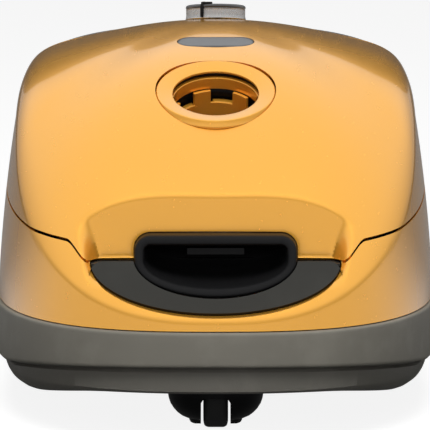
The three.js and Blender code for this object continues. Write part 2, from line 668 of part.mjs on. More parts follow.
// ---- rear grille and outlet ---------------------------------------------------------------------------
const grilleRegion = (grow) =>
  box(-GRILLE_HALF - grow, GRILLE_HALF + grow, TAIL_Y - GRILLE_DEPTH, FAR,
    GRILLE_LOW_Z - grow, GRILLE_TOP_Z + grow);
const outletRoom = rod(OUTLET_R - 2 + FIT, -FAR, 0, at(OUTLET_X, 0, OUTLET_Z, 90), ROUND);

// Bush that the mains lead runs through: a sleeve in the tail's wall under a rim on its outside.
function outletPiece() {
  const frame = at(OUTLET_X, 0, OUTLET_Z, -90);
  const [inside, face] = [TAIL_Y - OUTLET_DEPTH, TAIL_Y - OUTLET_END];
  const rim = turned([[OUTLET_BORE_R, inside + 4], [OUTLET_R, inside + 4], [OUTLET_R, face - 2],
    [OUTLET_BORE_R + 1, face], [OUTLET_BORE_R, face - 1]], frame).subtract(proudForm);
  return rim.add(tube(OUTLET_BORE_R, OUTLET_R - 2, inside, face - 3, frame));
}

function grillePiece() {
  const plate = hollow.intersect(grilleRegion(0));
  const pitch = (2 * GRILLE_HALF - 8) / GRILLE_SLOTS;
  const slots = Array.from({ length: GRILLE_SLOTS }, (_, i) => {
    const x = (i - (GRILLE_SLOTS - 1) / 2) * pitch;
    const half = GRILLE_SLOT_W / 2;
    return box(x - half, x + half, TAIL_Y - GRILLE_DEPTH, FAR, GRILLE_LOW_Z + 5, GRILLE_TOP_Z - 5);
  });
  return without(plate, ...slots);
}

// ---- bumper -------------------------------------------------------------------------------------------
function bumperForm() {
  const ring = (z, out, endOut) => Array.from({ length: SEGMENTS }, (_, i) => {
    const [x, y] = outlinePoint((i / SEGMENTS) * Math.PI * 2, 0);
    const [fx, fy] = [1 + out / HALF_WIDTH, 1 + endOut / HALF_LENGTH];
    return [x * fx, y * fy, z];
  });
  const outer = closedRings([
    ring(BUMPER_LOW_Z, BUMPER_OUT - 1.2, BUMPER_END_OUT - 1.2),
    ring(BUMPER_LOW_Z + 3, BUMPER_OUT, BUMPER_END_OUT),
    ring(RIM_Z - 2, BUMPER_OUT, BUMPER_END_OUT),
    ring(RIM_Z - 0.3, BUMPER_OUT - 1.4, BUMPER_END_OUT - 1.4)], [0, 0, BUMPER_LOW_Z], [0, 0, RIM_Z - 0.3]);
  const bore = bodyForm(-FIT);
  const rise = (BUMPER_NOSE_Z - BUMPER_LOW_Z) / (HALF_LENGTH + BUMPER_RISE_Y);
  const undercut = prismX(
    [[BUMPER_RISE_Y, 0], [BUMPER_RISE_Y, BUMPER_LOW_Z],
      [-FAR, BUMPER_LOW_Z + (FAR + BUMPER_RISE_Y) * rise], [-FAR, 0]],
    -FAR / 2, FAR / 2);
  return without(outer, bore, undercut);
}

function bumperPiece(front) {
  const reach = WHEEL_R + WHEEL_ARCH;
  const region = front
    ? box(-FAR / 2, FAR / 2, -FAR, WHEEL_Y - reach, 0, FAR)
    : box(-FAR / 2, FAR / 2, WHEEL_Y + reach, FAR, 0, FAR);
  const notch = box(-PARK_HALF - FIT, PARK_HALF + FIT, 0, FAR, 0, PARK_TOP_Z + FIT);
  return without(bumperForm().intersect(region), front ? wheelRoom(0) : notch);
}

// ---- lower shell --------------------------------------------------------------------------------------
const stemRoom = rod(CASTOR_STEM_R + AXLE_PLAY, 0, FAR, at(0, CASTOR_Y, 0), ROUND);
const BOSS_R = CASTOR_STEM_R + 4;
const axleRoom = (side) =>
  rod(AXLE_R + FIT, WHEEL_IN_X - 26, WHEEL_IN_X + 10, at(0, WHEEL_Y, WHEEL_R, 0, side * 90), SMALL);
const [FRONT_SCREW_Y, REAR_SCREW_Y] = [NOSE_Y + 109.6, TAIL_Y - 69.6];
const SCREW_SPOTS = [[-92, FRONT_SCREW_Y], [92, FRONT_SCREW_Y], [-70, REAR_SCREW_Y], [70, REAR_SCREW_Y]];
const SCREW_R = 2;
const SCREW_HEAD_R = 4.2;

function lowerPiece() {
  const tub = hollow.intersect(lowerHalf(RIM_Z - FIT));
  const boss = rod(BOSS_R, CASTOR_TOP_Z + 3, CASTOR_STEM_TOP_Z - 2, at(0, CASTOR_Y, 0), ROUND);
  const axleBosses = [-1, 1].map((side) =>
    rod(AXLE_R + 4, WHEEL_IN_X - 22, WHEEL_IN_X - WHEEL_ARCH - 1,
      at(0, WHEEL_Y, WHEEL_R, 0, side * 90), SMALL));
  const screwPosts = SCREW_SPOTS.map(([x, y]) =>
    rod(SCREW_HEAD_R + 1.5, FLOOR_Z + 1, FLOOR_Z + 16, at(x, y, 0), SMALL));
  const ribs = [-90, 90].map((x) =>
    box(x - 1, x + 1, FRONT_SCREW_Y, BULKHEAD_Y + 52, FLOOR_Z + 2, FLOOR_Z + 14));
  const saddleY = MOTOR_Y + FAN_LENGTH + REAR_MOUNT_AT + 2;
  const saddleTop = MOTOR_Z - MOTOR_R - MOUNT_T - 4;
  const saddle = box(MOTOR_X - 30, MOTOR_X + 30, saddleY, saddleY + 6, FLOOR_Z + 2, saddleTop);
  const screwHoles = SCREW_SPOTS.flatMap(([x, y]) => [
    rod(SCREW_R + FIT, 0, FLOOR_Z + 20, at(x, y, 0), SMALL),
    rod(SCREW_HEAD_R + FIT, 0, FLOOR_Z + 3.4, at(x, y, 0), SMALL)]);
  const whole = union(tub, boss, ...axleBosses, ...screwPosts, ...ribs, saddle, parkingSeat());
  return without(whole, stemRoom, axleRoom(1), axleRoom(-1), ...screwHoles, parkingRoom());
}

// Boxed seat in the tail that holds the parking bracket.
function parkingSeat() {
  const seat = box(-PARK_HALF - 3, PARK_HALF + 3, PARK_Y - 20, PARK_Y + 1, PARK_LOW_Z - 3, PARK_TOP_Z + 2);
  return seat.intersect(outerForm);
}
const parkingRoom = () => union(
  box(-PARK_HALF - FIT, PARK_HALF + FIT, PARK_Y - 14 - FIT, FAR, PARK_LOW_Z - FIT, PARK_TOP_Z + FIT),
  box(-PARK_SLOT_HALF - 1, PARK_SLOT_HALF + 1, PARK_Y - 10, FAR, 0, PARK_TOP_Z));

function parkingPiece() {
  const block = box(-PARK_HALF, PARK_HALF, PARK_Y - 14, PARK_Y + 5, PARK_LOW_Z, PARK_TOP_Z);
  const slot = box(-PARK_SLOT_HALF, PARK_SLOT_HALF, PARK_Y - 9, PARK_Y - 1, PARK_LOW_Z - 1, PARK_TOP_Z - 3);
  const mouth = box(-4, 4, PARK_Y - 2, PARK_Y + 6, PARK_LOW_Z - 1, PARK_TOP_Z - 3);
  return without(block, slot, mouth);
}

// ---- castor -------------------------------------------------------------------------------------------
function castorFork() {
  const cap = turned([[0, CASTOR_TOP_Z], [CASTOR_R - 4, CASTOR_TOP_Z], [CASTOR_R, CASTOR_TOP_Z - 8],
    [CASTOR_R, 23], [CASTOR_R - 1.1, 17.7], [CASTOR_R - 3.9, 12.9], [CASTOR_R - 7.6, 9], [CASTOR_R - 11.6, 7.3],
    [0, 7.3]], at(), ROUND);
  const legs = [-1, 1].map((side) => {
    const [a, b] = [side * (CASTOR_WHEEL_W / 2 + CASTOR_GAP), side * 16];
    return box(Math.min(a, b), Math.max(a, b), -9, 9, 4.3, 12);
  });
  const room = CASTOR_WHEEL_R + 2.5;
  const half = CASTOR_WHEEL_W / 2 + CASTOR_GAP;
  const wheelRoomHere = rod(room, -half, half, at(0, CASTOR_TRAIL, CASTOR_WHEEL_R, 0, 90), ROUND);
  const open = box(-half, half, -CASTOR_R - 1, CASTOR_TRAIL + room, -1, CASTOR_SLOT_Z);
  const stem = rod(CASTOR_STEM_R, CASTOR_TOP_Z - 1, CASTOR_STEM_TOP_Z, at(), ROUND);
  const pin = rod(CASTOR_PIN_R + 0.1, -22, 22, at(0, CASTOR_TRAIL, CASTOR_WHEEL_R, 0, 90), SMALL);
  return without(union(cap, ...legs, stem), wheelRoomHere, open, pin);
}

function castorWheel() {
  const [r, w] = [CASTOR_WHEEL_R, CASTOR_WHEEL_W / 2];
  return turned([[2, -w], [r - 3, -w], [r - 0.8, -w + 1.2], [r, -w + 3.4], [r, w - 3.4], [r - 0.8, w - 1.2],
    [r - 3, w], [2, w]], at(0, 0, 0, 0, 90), FINE);
}

// ---- rear wheels (local X is the axle, +X outwards) ------------------------------------------------------
const wheelWidth = WHEEL_OUT_X - WHEEL_IN_X;
const axleBore = AXLE_R + AXLE_PLAY;

function wheelHub() {
  const r = WHEEL_R - TYRE_T - FIT;
  const rim = turned([[axleBore, 0], [14, 0], [14, 8], [r - 5, 8], [r - 5, 0], [r, 0], [r, wheelWidth - 1],
    [r - 3, wheelWidth], [r - 5, wheelWidth - 5], [16, wheelWidth - 5], [16, wheelWidth - 8],
    [axleBore, wheelWidth - 8]], at(0, 0, 0, 0, 90), FINE);
  const spokes = Array.from({ length: 5 }, (_, i) =>
    rod(4.2, 3, wheelWidth + 2, at(0, 0, 0, (i * 360) / 5).multiply(at(0, 26, 0, 0, 90)), SMALL));
  return without(rim, ...spokes);
}

const wheelTyre = () => turned([[WHEEL_R - TYRE_T, 2], [WHEEL_R - 1.5, 2], [WHEEL_R, 4.5], [WHEEL_R, wheelWidth - 4.5],
  [WHEEL_R - 1.5, wheelWidth - 2], [WHEEL_R - TYRE_T, wheelWidth - 2]], at(0, 0, 0, 0, 90), FINE);
const wheelAxle = () => turned([[0, -22], [AXLE_R, -22], [AXLE_R, wheelWidth - 7], [7, wheelWidth - 7],
  [7, wheelWidth - 5], [0, wheelWidth - 5]], at(0, 0, 0, 0, 90), ROUND);
const hubCap = () => turned([[0, wheelWidth - 4.6], [15, wheelWidth - 4.6], [15, wheelWidth - 1.8], [11, wheelWidth],
  [0, wheelWidth + 0.6]], at(0, 0, 0, 0, 90), ROUND);

// ---- inner works ------------------------------------------------------------------------------------------
const insideForm = bodyForm(WALL + 1.2);
const roomyForm = bodyForm(WALL + 5);
const filterFrame = at(MOTOR_X, BULKHEAD_Y, MOTOR_Z);

function bulkheadPiece() {
  const plate = box(-FAR / 2, FAR / 2, BULKHEAD_Y, BULKHEAD_Y + BULKHEAD_T, FLOOR_Z + 16, BULKHEAD_TOP_Z);
  const window = box(MOTOR_X - FILTER_HALF + 6, MOTOR_X + FILTER_HALF - 6, -FAR, FAR,
    MOTOR_Z - FILTER_HALF + 6, MOTOR_Z + FILTER_HALF - 6);
  return without(plate.intersect(roomyForm), window, wheelRoom(WALL + FIT));
}

function filterFramePiece() {
  const [h, inner] = [FILTER_HALF + 4, FILTER_HALF - 4];
  const rim = box(-h, h, -FILTER_T - 3, -FIT, -h, h);
  const pocket = box(-FILTER_HALF, FILTER_HALF, -FILTER_T - 1, 2, -FILTER_HALF, FILTER_HALF);
  return without(rim, pocket, box(-inner, inner, -20, 0, -inner, inner));
}

function fanHousing() {
  const back = FAN_LENGTH;
  return turned([[FAN_INLET_R, 0], [FAN_R, 0], [FAN_R, back], [MOTOR_R - 8, back], [MOTOR_R - 8, back - FAN_WALL],
    [FAN_R - FAN_WALL, back - FAN_WALL], [FAN_R - FAN_WALL, FAN_WALL], [FAN_INLET_R, FAN_WALL]],
  at(0, 0, 0, -90), ROUND);
}

function motorCan() {
  const [h0, h1] = [FAN_LENGTH + FIT, FAN_LENGTH + MOTOR_LENGTH];
  const can = turned([[SHAFT_R + 1, h0], [MOTOR_R, h0], [MOTOR_R, h1 - 8], [MOTOR_R - 8, h1], [SHAFT_R + 1, h1],
    [SHAFT_R + 1, h1 - MOTOR_WALL], [MOTOR_R - 10, h1 - MOTOR_WALL], [MOTOR_R - MOTOR_WALL, h1 - 9],
    [MOTOR_R - MOTOR_WALL, h0 + MOTOR_WALL], [SHAFT_R + 1, h0 + MOTOR_WALL]], at(0, 0, 0, -90), ROUND);
  const vents = Array.from({ length: 8 }, (_, i) => {
    const frame = at(0, 0, 0, 0, i * 45).multiply(at(0, 0, 0, -90));
    return solid(new THREE.BoxGeometry(8, 14, 22), frame.multiply(at(0, MOTOR_R, h1 - 24)));
  });
  return without(can, ...vents);
}

function armature() {
  const [h0, h1] = [FAN_LENGTH + 12, FAN_LENGTH + MOTOR_LENGTH - 14];
  return turned([[0, 5], [SHAFT_R - 1, 5], [SHAFT_R, 6], [SHAFT_R, h0], [24, h0], [26, h0 + 3], [26, h1 - 3], [24, h1],
    [11, h1], [11, h1 + 8], [SHAFT_R, h1 + 8], [SHAFT_R, FAN_LENGTH + MOTOR_LENGTH + 3],
    [0, FAN_LENGTH + MOTOR_LENGTH + 3]], at(0, 0, 0, -90), ROUND);
}

function impellerPiece() {
  const disc = turned([[SHAFT_R + FIT, 8], [12, 8], [14, 22], [IMPELLER_R, 24], [IMPELLER_R, 26], [SHAFT_R + FIT, 26]],
    at(0, 0, 0, -90), ROUND);
  const blades = Array.from({ length: IMPELLER_BLADES }, (_, i) => {
    const frame = at(0, 0, 0, 0, (i * 360) / IMPELLER_BLADES).multiply(at(0, 0, 0, -90));
    return solid(new THREE.BoxGeometry(34, 1.2, 14), frame.multiply(at(34, 6, 18.5, 0, 0, 18)));
  });
  return union(disc, ...blades);
}

const rubberRing = (inner, outer, h0) => tube(inner, outer, h0, h0 + MOUNT_T + 1, at(0, 0, 0, -90), ROUND);

function reelDrum() {
  const w = REEL_WIDTH / 2;
  const [t, bore] = [REEL_FLANGE_T, REEL_AXLE_R + AXLE_PLAY];
  return turned([[bore, -w], [REEL_R, -w], [REEL_R, -w + t], [REEL_HUB_R, -w + t], [REEL_HUB_R, w - t], [REEL_R, w - t],
    [REEL_R, w], [bore, w]], at(0, 0, 0, 0, 90), ROUND);
}

// Side plate that carries the reel's axle, with a shelf over the reel for the pedal's spring.
function reelBracket() {
  const x = REEL_X + REEL_WIDTH / 2 + 6.4;
  const plate = union(box(x, x + 2.6, REEL_Y - 12, REEL_Y + 12, FLOOR_Z + 20, PEDAL_SEAT_Z),
    box(x, x + 2.6, REEL_Y - 12, PEDAL_Y + 9, REEL_Z + 10, PEDAL_SEAT_Z));
  const shelf = box(PEDAL_X - 10, x + 2.6, PEDAL_Y - 9, PEDAL_Y + 9, PEDAL_SEAT_Z - 2.6, PEDAL_SEAT_Z);
  return without(union(plate, shelf), wheelRoom(WALL + FIT));
}

const BAG_HALF_WIDTH = 84;
const BAG_HALF_LENGTH = 48;
const BAG_Y = PORT_Y + 17;

// A bag swollen with dust, cut to stay under the collar.
function bagPiece() {
  const rings = [];
  for (const [z, share] of [[52, 0.8], [62, 0.96], [84, 1], [112, 1], [134, 0.93], [146, 0.74]]) {
    rings.push(Array.from({ length: 24 }, (_, i) => {
      const turn = (i / 24) * Math.PI * 2;
      const [s, c] = [Math.sin(turn), Math.cos(turn)];
      const reach = (Math.abs(s) ** 3 + Math.abs(c) ** 3) ** (-1 / 3);
      return [BAG_HALF_WIDTH * share * reach * s, BAG_Y - BAG_HALF_LENGTH * share * reach * c, z];
    }));
  }
  return closedRings(rings, [0, BAG_Y, 50], [0, BAG_Y, 149]).subtract(collarRoom);
}

const collarRoom = solid(new THREE.BoxGeometry(2 * COLLAR_HALF + 30, 2 * COLLAR_HALF + 30, 60),
  portFrame.clone().multiply(at(0, 0, collarTop - COLLAR_T - 2.5 + 30)));

function bagCollar() {
  const plate = solid(new THREE.BoxGeometry(2 * COLLAR_HALF, 2 * COLLAR_HALF, COLLAR_T),
    portFrame.clone().multiply(at(0, 0, collarTop - COLLAR_T / 2)));
  return plate.subtract(rod(PORT_BORE_R - 2, -FAR, FAR, portFrame, ROUND));
}

const HOLDER_ARM_X = 92;

// Frame that the collar slides into, on two arms down to the lower shell.
function bagHolder() {
  const outer = COLLAR_HALF + 6;
  const slab = solid(new THREE.BoxGeometry(2 * outer, 2 * COLLAR_HALF + 8, COLLAR_T + 3),
    portFrame.clone().multiply(at(0, 0, collarTop - COLLAR_T / 2)));
  const slot = solid(new THREE.BoxGeometry(2 * (COLLAR_HALF + FIT), 2 * COLLAR_HALF + 20, COLLAR_T + 2 * FIT),
    portFrame.clone().multiply(at(0, 0, collarTop - COLLAR_T / 2)));
  const middle = solid(new THREE.BoxGeometry(2 * (COLLAR_HALF - 3), 2 * COLLAR_HALF + 20, 30),
    portFrame.clone().multiply(at(0, 0, collarTop)));
  const bar = solid(new THREE.BoxGeometry(2 * outer, 4, COLLAR_T + 3),
    portFrame.clone().multiply(at(0, COLLAR_HALF + 6, collarTop - COLLAR_T / 2)));
  const arms = [-1, 1].map((side) => {
    const x = side * HOLDER_ARM_X;
    const [y0, y1, top] = [PORT_Y + 35, PORT_Y + 51, PORT_Z - 41.3];
    return union(box(x - 2, x + 2, y0, y1, FLOOR_Z + 16, top),
      box(Math.min(x, side * (outer - 3)), Math.max(x, side * (outer - 3)), y0, y1, top - 3, top));
  });
  return union(without(slab, slot, middle), bar, ...arms);
}

// ---- top controls --------------------------------------------------------------------------------
function dialRing() {
  const points = [];
  for (let i = 0; i < DIAL_RIDGES * 2; i += 1) {
    const turn = (i / DIAL_RIDGES) * Math.PI;
    const r = DIAL_R - (i % 2 ? 0.7 : 0);
    points.push([r * Math.cos(turn), r * Math.sin(turn)]);
  }
  return prismZ(points, 0, DIAL_RING_H).subtract(rod(DIAL_R - 3, -1, DIAL_RING_H + 1, at(), ROUND));
}

function dialCap() {
  const r = DIAL_R - 3 - FIT;
  const top = DIAL_RING_H + DIAL_CAP_H;
  const cap = turned([[0, 1], [r, 1], [r, DIAL_RING_H + FIT], [DIAL_R - 0.2, DIAL_RING_H + FIT],
    [DIAL_R - 0.3, top - 0.9], [DIAL_R - 1.2, top], [0, top]], at(), FINE);
  const rib = solid(new THREE.BoxGeometry(3.4, DIAL_R, 4), at(0, 0, 0, 0, 0, POINTER_TURN)
    .multiply(at(0, -DIAL_R / 2 - 0.6, top - 0.3)));
  const stem = rod(DIAL_STEM_R, -20, 2, at(), SMALL);
  return union(cap, rib, stem);
}

function pedalPiece(side) {
  const outline = oval(PEDAL_HALF_X, PEDAL_HALF_Y, side * PEDAL_X, PEDAL_Y);
  const skin = bodyForm(-PEDAL_PROUD).subtract(bodyForm(PEDAL_T - PEDAL_PROUD));
  const pad = prismZ(outline, TOP_HOLES_Z, FAR).intersect(skin);
  const stem = rod(PEDAL_STEM_R, PEDAL_SEAT_Z + 12, FAR, at(side * PEDAL_X, PEDAL_Y, 0), SMALL);
  return union(pad, stem.intersect(outerForm));
}

// A coil spring as one closed tube, with a flat turn's rise between its turns.
function coilSpring(radius, wire, height, turns) {
  const sides = 4;
  class Helix extends THREE.Curve {
    getPoint(t, target = new THREE.Vector3()) {
      const turn = t * turns * Math.PI * 2;
      return target.set(radius * Math.cos(turn), radius * Math.sin(turn), t * height);
    }
  }
  const section = new THREE.Shape(oval(wire, wire, 0, 0, sides).map(([u, v]) => new THREE.Vector2(u, v)));
  const options = { steps: turns * 8, extrudePath: new Helix(), bevelEnabled: false };
  return solid(new THREE.ExtrudeGeometry(section, options));
}

// ---- assembly ------------------------------------------------------------------------------------
addPiece("lower_shell", lowerPiece(), warmGrey);
addPiece("bumper_front", bumperPiece(true), warmGrey);
addPiece("bumper_rear", bumperPiece(false), warmGrey);
addPiece("body_shell", bodyPiece(), yellow);
addPiece("rear_cover", coverPiece(), yellow);
addPiece("lid", lidPiece(), yellow);
addPiece("hinge_pin", rod(HINGE_PIN_R, -HINGE_PIN_LENGTH / 2, HINGE_PIN_LENGTH / 2, hingeLine, SMALL), steel);

const pocket = pocketPiece();
addPiece("carrying_pocket", pocket, black);
const frontPanel = (() => {
  const [bend, foot] = panelLine(0);
  const [bendIn, footIn] = panelLine(PANEL_T);
  const back = RECESS_Y - PANEL_GAP / 2;
  const band = prismX([[back, bend[1]], bend, foot, footIn, bendIn, [back, bendIn[1]]], -FAR / 4, FAR / 4);
  return without(band.intersect(prismY(recessOutline(-0.6), -FAR, 0)), pocketRoom(FIT), ...hookSlots);
})();
addPiece("front_panel", frontPanel, darkGrey);

const leverGroup = new THREE.Group();
const LEVER_Y = POCKET_BACK_Y - POCKET_BACK_T - 5;
const LEVER_Z = POCKET_TOP_Z - POCKET_RIM - 5;
leverGroup.position.set(0, LEVER_Y, LEVER_Z);
model.add(leverGroup);
addPiece("lid_release_lever", union(
  box(-LEVER_HALF, LEVER_HALF, -24, 2, -LEVER_T / 2, LEVER_T / 2),
  box(-LEVER_HALF, LEVER_HALF, -24, -20, -LEVER_T / 2 - 1.4, LEVER_T / 2)), darkGrey, leverGroup);
const hook = (side) => union(
  box(side * HOOK_X - HOOK_HALF, side * HOOK_X + HOOK_HALF,
    RECESS_Y + WALL + FIT, RECESS_Y + WALL + 2.4, 96, 124),
  box(side * HOOK_X - HOOK_HALF, side * HOOK_X + HOOK_HALF, RECESS_Y + 1, RECESS_Y + WALL + 2.4, 96, 98));
addPiece("latch_hook_left", hook(-1), black);
addPiece("latch_hook_right", hook(1), black);

addPiece("port_ring", portRing(), yellow);
addPiece("port_socket", portSocket(), yellow);
addPiece("port_seal",
  tube(PORT_BORE_R + 1, PORT_NECK_R, sealTop - SEAL_T, sealTop, portFrame, ROUND), rubber);
addPiece("bag_collar", bagCollar(), paleGrey);
addPiece("bag_holder", bagHolder(), darkGrey);
addPiece("dust_bag", bagPiece(), paper);
addPiece("indicator_window", windowRoom(0).intersect(bodyForm(0.3).subtract(bodyForm(WALL))), greyBlue);

const dialGroup = new THREE.Group();
dialGroup.applyMatrix4(dialFrame);
model.add(dialGroup);
addPiece("dial_ring", dialRing(), steel, dialGroup);
addPiece("dial_cap", dialCap(), black, dialGroup);
addPiece("speed_control", tube(4.4, 11, -23.6, -13, dialFrame, SMALL), black);
addPiece("control_board", box(-30, 30, DIAL_Y - 20, DIAL_Y + 34, BOARD_TOP_Z - 1.8, BOARD_TOP_Z), board);
// The springs reach from their seats to the pads' undersides, measured at a spring's outer side.
const springFoot = PEDAL_SEAT_Z + SPRING_WIRE_R + 0.1;
const springSide = PEDAL_X + PEDAL_STEM_R + 3 + SPRING_WIRE_R;
const padUnderside = domeHeight(springSide, PEDAL_Y) - (PEDAL_T - PEDAL_PROUD) * 1.15;
const springHeight = padUnderside - SPRING_WIRE_R - FIT - springFoot;
for (const [name, side] of [["left", -1], ["right", 1]]) {
  addPiece(`foot_pedal_${name}`, pedalPiece(side), greyBlue);
  const coil = coilSpring(PEDAL_STEM_R + 3, SPRING_WIRE_R, springHeight, SPRING_TURNS);
  const spring = addPiece(`pedal_spring_${name}`, coil, steel);
  spring.position.set(side * PEDAL_X, PEDAL_Y, springFoot);
}
addPiece("mains_switch", box(-PEDAL_X - 9, -PEDAL_X + 9, PEDAL_Y - 12, PEDAL_Y + 12,
  PEDAL_SEAT_Z - SWITCH_HEIGHT, PEDAL_SEAT_Z), black);

addPiece("exhaust_grille", grillePiece(), yellow);
addPiece("exhaust_filter", box(-EXHAUST_FILTER_HALF, EXHAUST_FILTER_HALF, EXHAUST_FILTER_Y - EXHAUST_FILTER_T,
  EXHAUST_FILTER_Y, GRILLE_LOW_Z - EXHAUST_FILTER_OVER, GRILLE_TOP_Z + EXHAUST_FILTER_OVER), paper);
addPiece("cable_outlet", outletPiece(), black);
addPiece("parking_bracket", parkingPiece(), darkGrey);

const castor = new THREE.Group();
castor.position.set(0, CASTOR_Y, 0);
model.add(castor);
addPiece("castor_fork", castorFork(), black, castor);
addPiece("castor_wheel", castorWheel(), rubber, castor).position.set(0, CASTOR_TRAIL, CASTOR_WHEEL_R);
addPiece("castor_axle",
  rod(CASTOR_PIN_R, -CASTOR_PIN_HALF, CASTOR_PIN_HALF, at(0, 0, 0, 0, 90), SMALL), steel, castor)
  .position.set(0, CASTOR_TRAIL, CASTOR_WHEEL_R);

for (const [name, side] of [["left", -1], ["right", 1]]) {
  const corner = new THREE.Group();
  corner.position.set(side * WHEEL_IN_X, WHEEL_Y, WHEEL_R);
  corner.rotation.z = side > 0 ? 0 : Math.PI;
  model.add(corner);
  addPiece(`rear_wheel_${name}`, wheelHub(), warmGrey, corner);
  addPiece(`rear_tyre_${name}`, wheelTyre(), rubber, corner);
  addPiece(`rear_axle_${name}`, wheelAxle(), steel, corner);
  addPiece(`hub_cap_${name}`, hubCap(), darkGrey, corner);
}

addPiece("bulkhead", bulkheadPiece(), darkGrey);
const filter = new THREE.Group();
filter.position.set(MOTOR_X, BULKHEAD_Y, MOTOR_Z);
model.add(filter);
addPiece("filter_frame", filterFramePiece(), paleGrey, filter);
addPiece("motor_filter", box(-FILTER_HALF + FIT, FILTER_HALF - FIT, -FILTER_T - 1 + FIT, -2,
  -FILTER_HALF + FIT, FILTER_HALF - FIT), foam, filter);

const motor = new THREE.Group();
motor.position.set(MOTOR_X, MOTOR_Y, MOTOR_Z);
model.add(motor);
addPiece("fan_housing", fanHousing(), steel, motor);
addPiece("motor_can", motorCan(), steel, motor);
addPiece("armature", armature(), copper, motor);
addPiece("impeller", impellerPiece(), steel, motor);
addPiece("motor_mount_front", rubberRing(FAN_INLET_R + 4, FAN_R - 6, -MOUNT_T - 1.5), rubber, motor);
addPiece("motor_mount_rear",
  rubberRing(MOTOR_R + FIT, MOTOR_R + 3.6, FAN_LENGTH + REAR_MOUNT_AT), rubber, motor);

const reel = new THREE.Group();
reel.position.set(REEL_X, REEL_Y, REEL_Z);
model.add(reel);
addPiece("reel_drum", reelDrum(), darkGrey, reel);
addPiece("reel_axle",
  rod(REEL_AXLE_R, -REEL_WIDTH / 2 - 3, REEL_WIDTH / 2 + 6, at(0, 0, 0, 0, 90), SMALL), steel, reel);
addPiece("reel_bracket", reelBracket(), paleGrey);
addPiece("reel_brake", rod(BRAKE_R, -BRAKE_R, BRAKE_R, at(0, 0, 0, 0, 90), SMALL), rubber, reel)
  .position.set(0, BRAKE_Y, REEL_R + BRAKE_R + BRAKE_GAP);

SCREW_SPOTS.forEach(([x, y], i) => {
  const head = turned([[0, 0.6], [SCREW_HEAD_R, 0.6], [SCREW_HEAD_R, 3], [SCREW_R, 3], [SCREW_R, 14], [0, 15]], at(), SMALL);
  addPiece(`base_screw_${i + 1}`, head, steel).position.set(x, y, FLOOR_Z);
});

export default model;
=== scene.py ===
"""Canister vacuum cleaner: fine shells, finishes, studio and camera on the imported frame."""

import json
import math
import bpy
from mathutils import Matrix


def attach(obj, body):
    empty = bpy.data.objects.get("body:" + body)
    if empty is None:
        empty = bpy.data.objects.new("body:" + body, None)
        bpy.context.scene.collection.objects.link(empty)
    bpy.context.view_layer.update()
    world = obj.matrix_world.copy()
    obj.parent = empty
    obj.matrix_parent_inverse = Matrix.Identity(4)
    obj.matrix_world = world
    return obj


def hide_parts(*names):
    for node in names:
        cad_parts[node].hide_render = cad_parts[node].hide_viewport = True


bl_info = {
    "name": "Canister vacuum cleaner",
    "version": (1, 0, 0),
    "blender": (4, 5, 0),
    "location": "3D View > Sidebar > Vacuum",
    "description": "Builds the visible pieces of a canister vacuum cleaner on its packed frame",
    "category": "Object",
}

import bpy
import numpy as np
from bpy.props import FloatProperty, FloatVectorProperty, IntProperty, PointerProperty
from mathutils import Euler, Matrix, Vector, noise

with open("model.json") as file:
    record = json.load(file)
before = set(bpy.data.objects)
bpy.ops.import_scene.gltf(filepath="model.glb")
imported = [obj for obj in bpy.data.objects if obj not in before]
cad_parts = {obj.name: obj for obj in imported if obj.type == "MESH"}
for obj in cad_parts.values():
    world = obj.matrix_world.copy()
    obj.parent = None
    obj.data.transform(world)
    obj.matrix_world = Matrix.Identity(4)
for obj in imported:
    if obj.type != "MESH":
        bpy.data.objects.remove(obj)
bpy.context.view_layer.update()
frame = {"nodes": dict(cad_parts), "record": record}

FULL_TURN = 2 * math.pi

# ---- the body's form, in millimetres, as in the frame -------------------------------------------
HALF_WIDTH, HALF_LENGTH = 137.6, 229.6
FRONT_POWER, REAR_POWER = 2.65, 3.4
RIM_Z, TOP_Z, DOME_Y = 68.6, 231.4, 22.0
NOSE_CREASE_Z, CREASE_SLOPE = 74.6, 0.645
SHOULDER_Z, SHOULDER_Y, TAIL_DROP = 184.0, 40.0, 52.0
WALL_DRAFT, WALL_CURVE = 0.05, 0.0005
SEAM_Z, SEAM_SLOPE, TAIL_SEAM_SLOPE = 144.0, 0.146, -0.26
FRONT_SEAM_Y, LID_REAR_Y, COVER_FRONT_Y = -120.0, 61.2, 64.6
EDGE_CURVE_IN_X, EDGE_CURVE_OUT_X = 74.0, 89.0
HINGE_Y, HINGE_Z, LID_TRAVEL, TURN_HALF, TURN_GAP = 60.5, 223.0, 70.0, 72.0, 0.5
PANEL_TOP_Z, PANEL_LOW_Z, PANEL_TOP_Y, PANEL_LOW_Y = 105.0, 76.8, -192.0, -216.5
PANEL_HALF, PANEL_DEPTH, PANEL_ROOM = 74.2, 28.2, 0.5
RECESS_Y, RECESS_LOW, RECESS_TOP, BROW_Z = -174.8, 72.5, 81.5, 141.0
RECESS_BOW, RECESS_FOOT_Z, RECESS_FULL_Z = 3.2 / 64 ** 2, 91.0, 107.0
POCKET_HALF, POCKET_TOP_Z, POCKET_LOW_Z, POCKET_CORNER = 48.4, 120.6, 84.8, 9.6
POCKET_WAIST_Z = POCKET_LOW_Z + (POCKET_TOP_Z - POCKET_LOW_Z) * 0.6
POCKET_FACE_Y, POCKET_LEAN, POCKET_BACK_Y = -190.0, 0.411, -153.0
CROWN_RISE, CROWN_HALF, CROWN_FRONT_Y, CROWN_REAR_Y = 2.0, 78.0, -40.0, 130.0
WHEEL_R, WHEEL_Y, WHEEL_ROOM, WHEEL_IN_X, WHEEL_WIDTH = 46.0, 112.0, 50.0, 103.0, 23.0
BAY_FRONT_Y, BAY_REAR_Y = WHEEL_Y - WHEEL_ROOM, WHEEL_Y + WHEEL_ROOM
CASTOR_Y, CASTOR_WHEEL_TRAIL, CASTOR_WHEEL_R, WELL_R = -162.0, 6.0, 18.0, 31.8
PORT_Y, PORT_Z, PORT_TILT, PORT_BORE_R = -101.0, 199.3, 25.7, 26.35
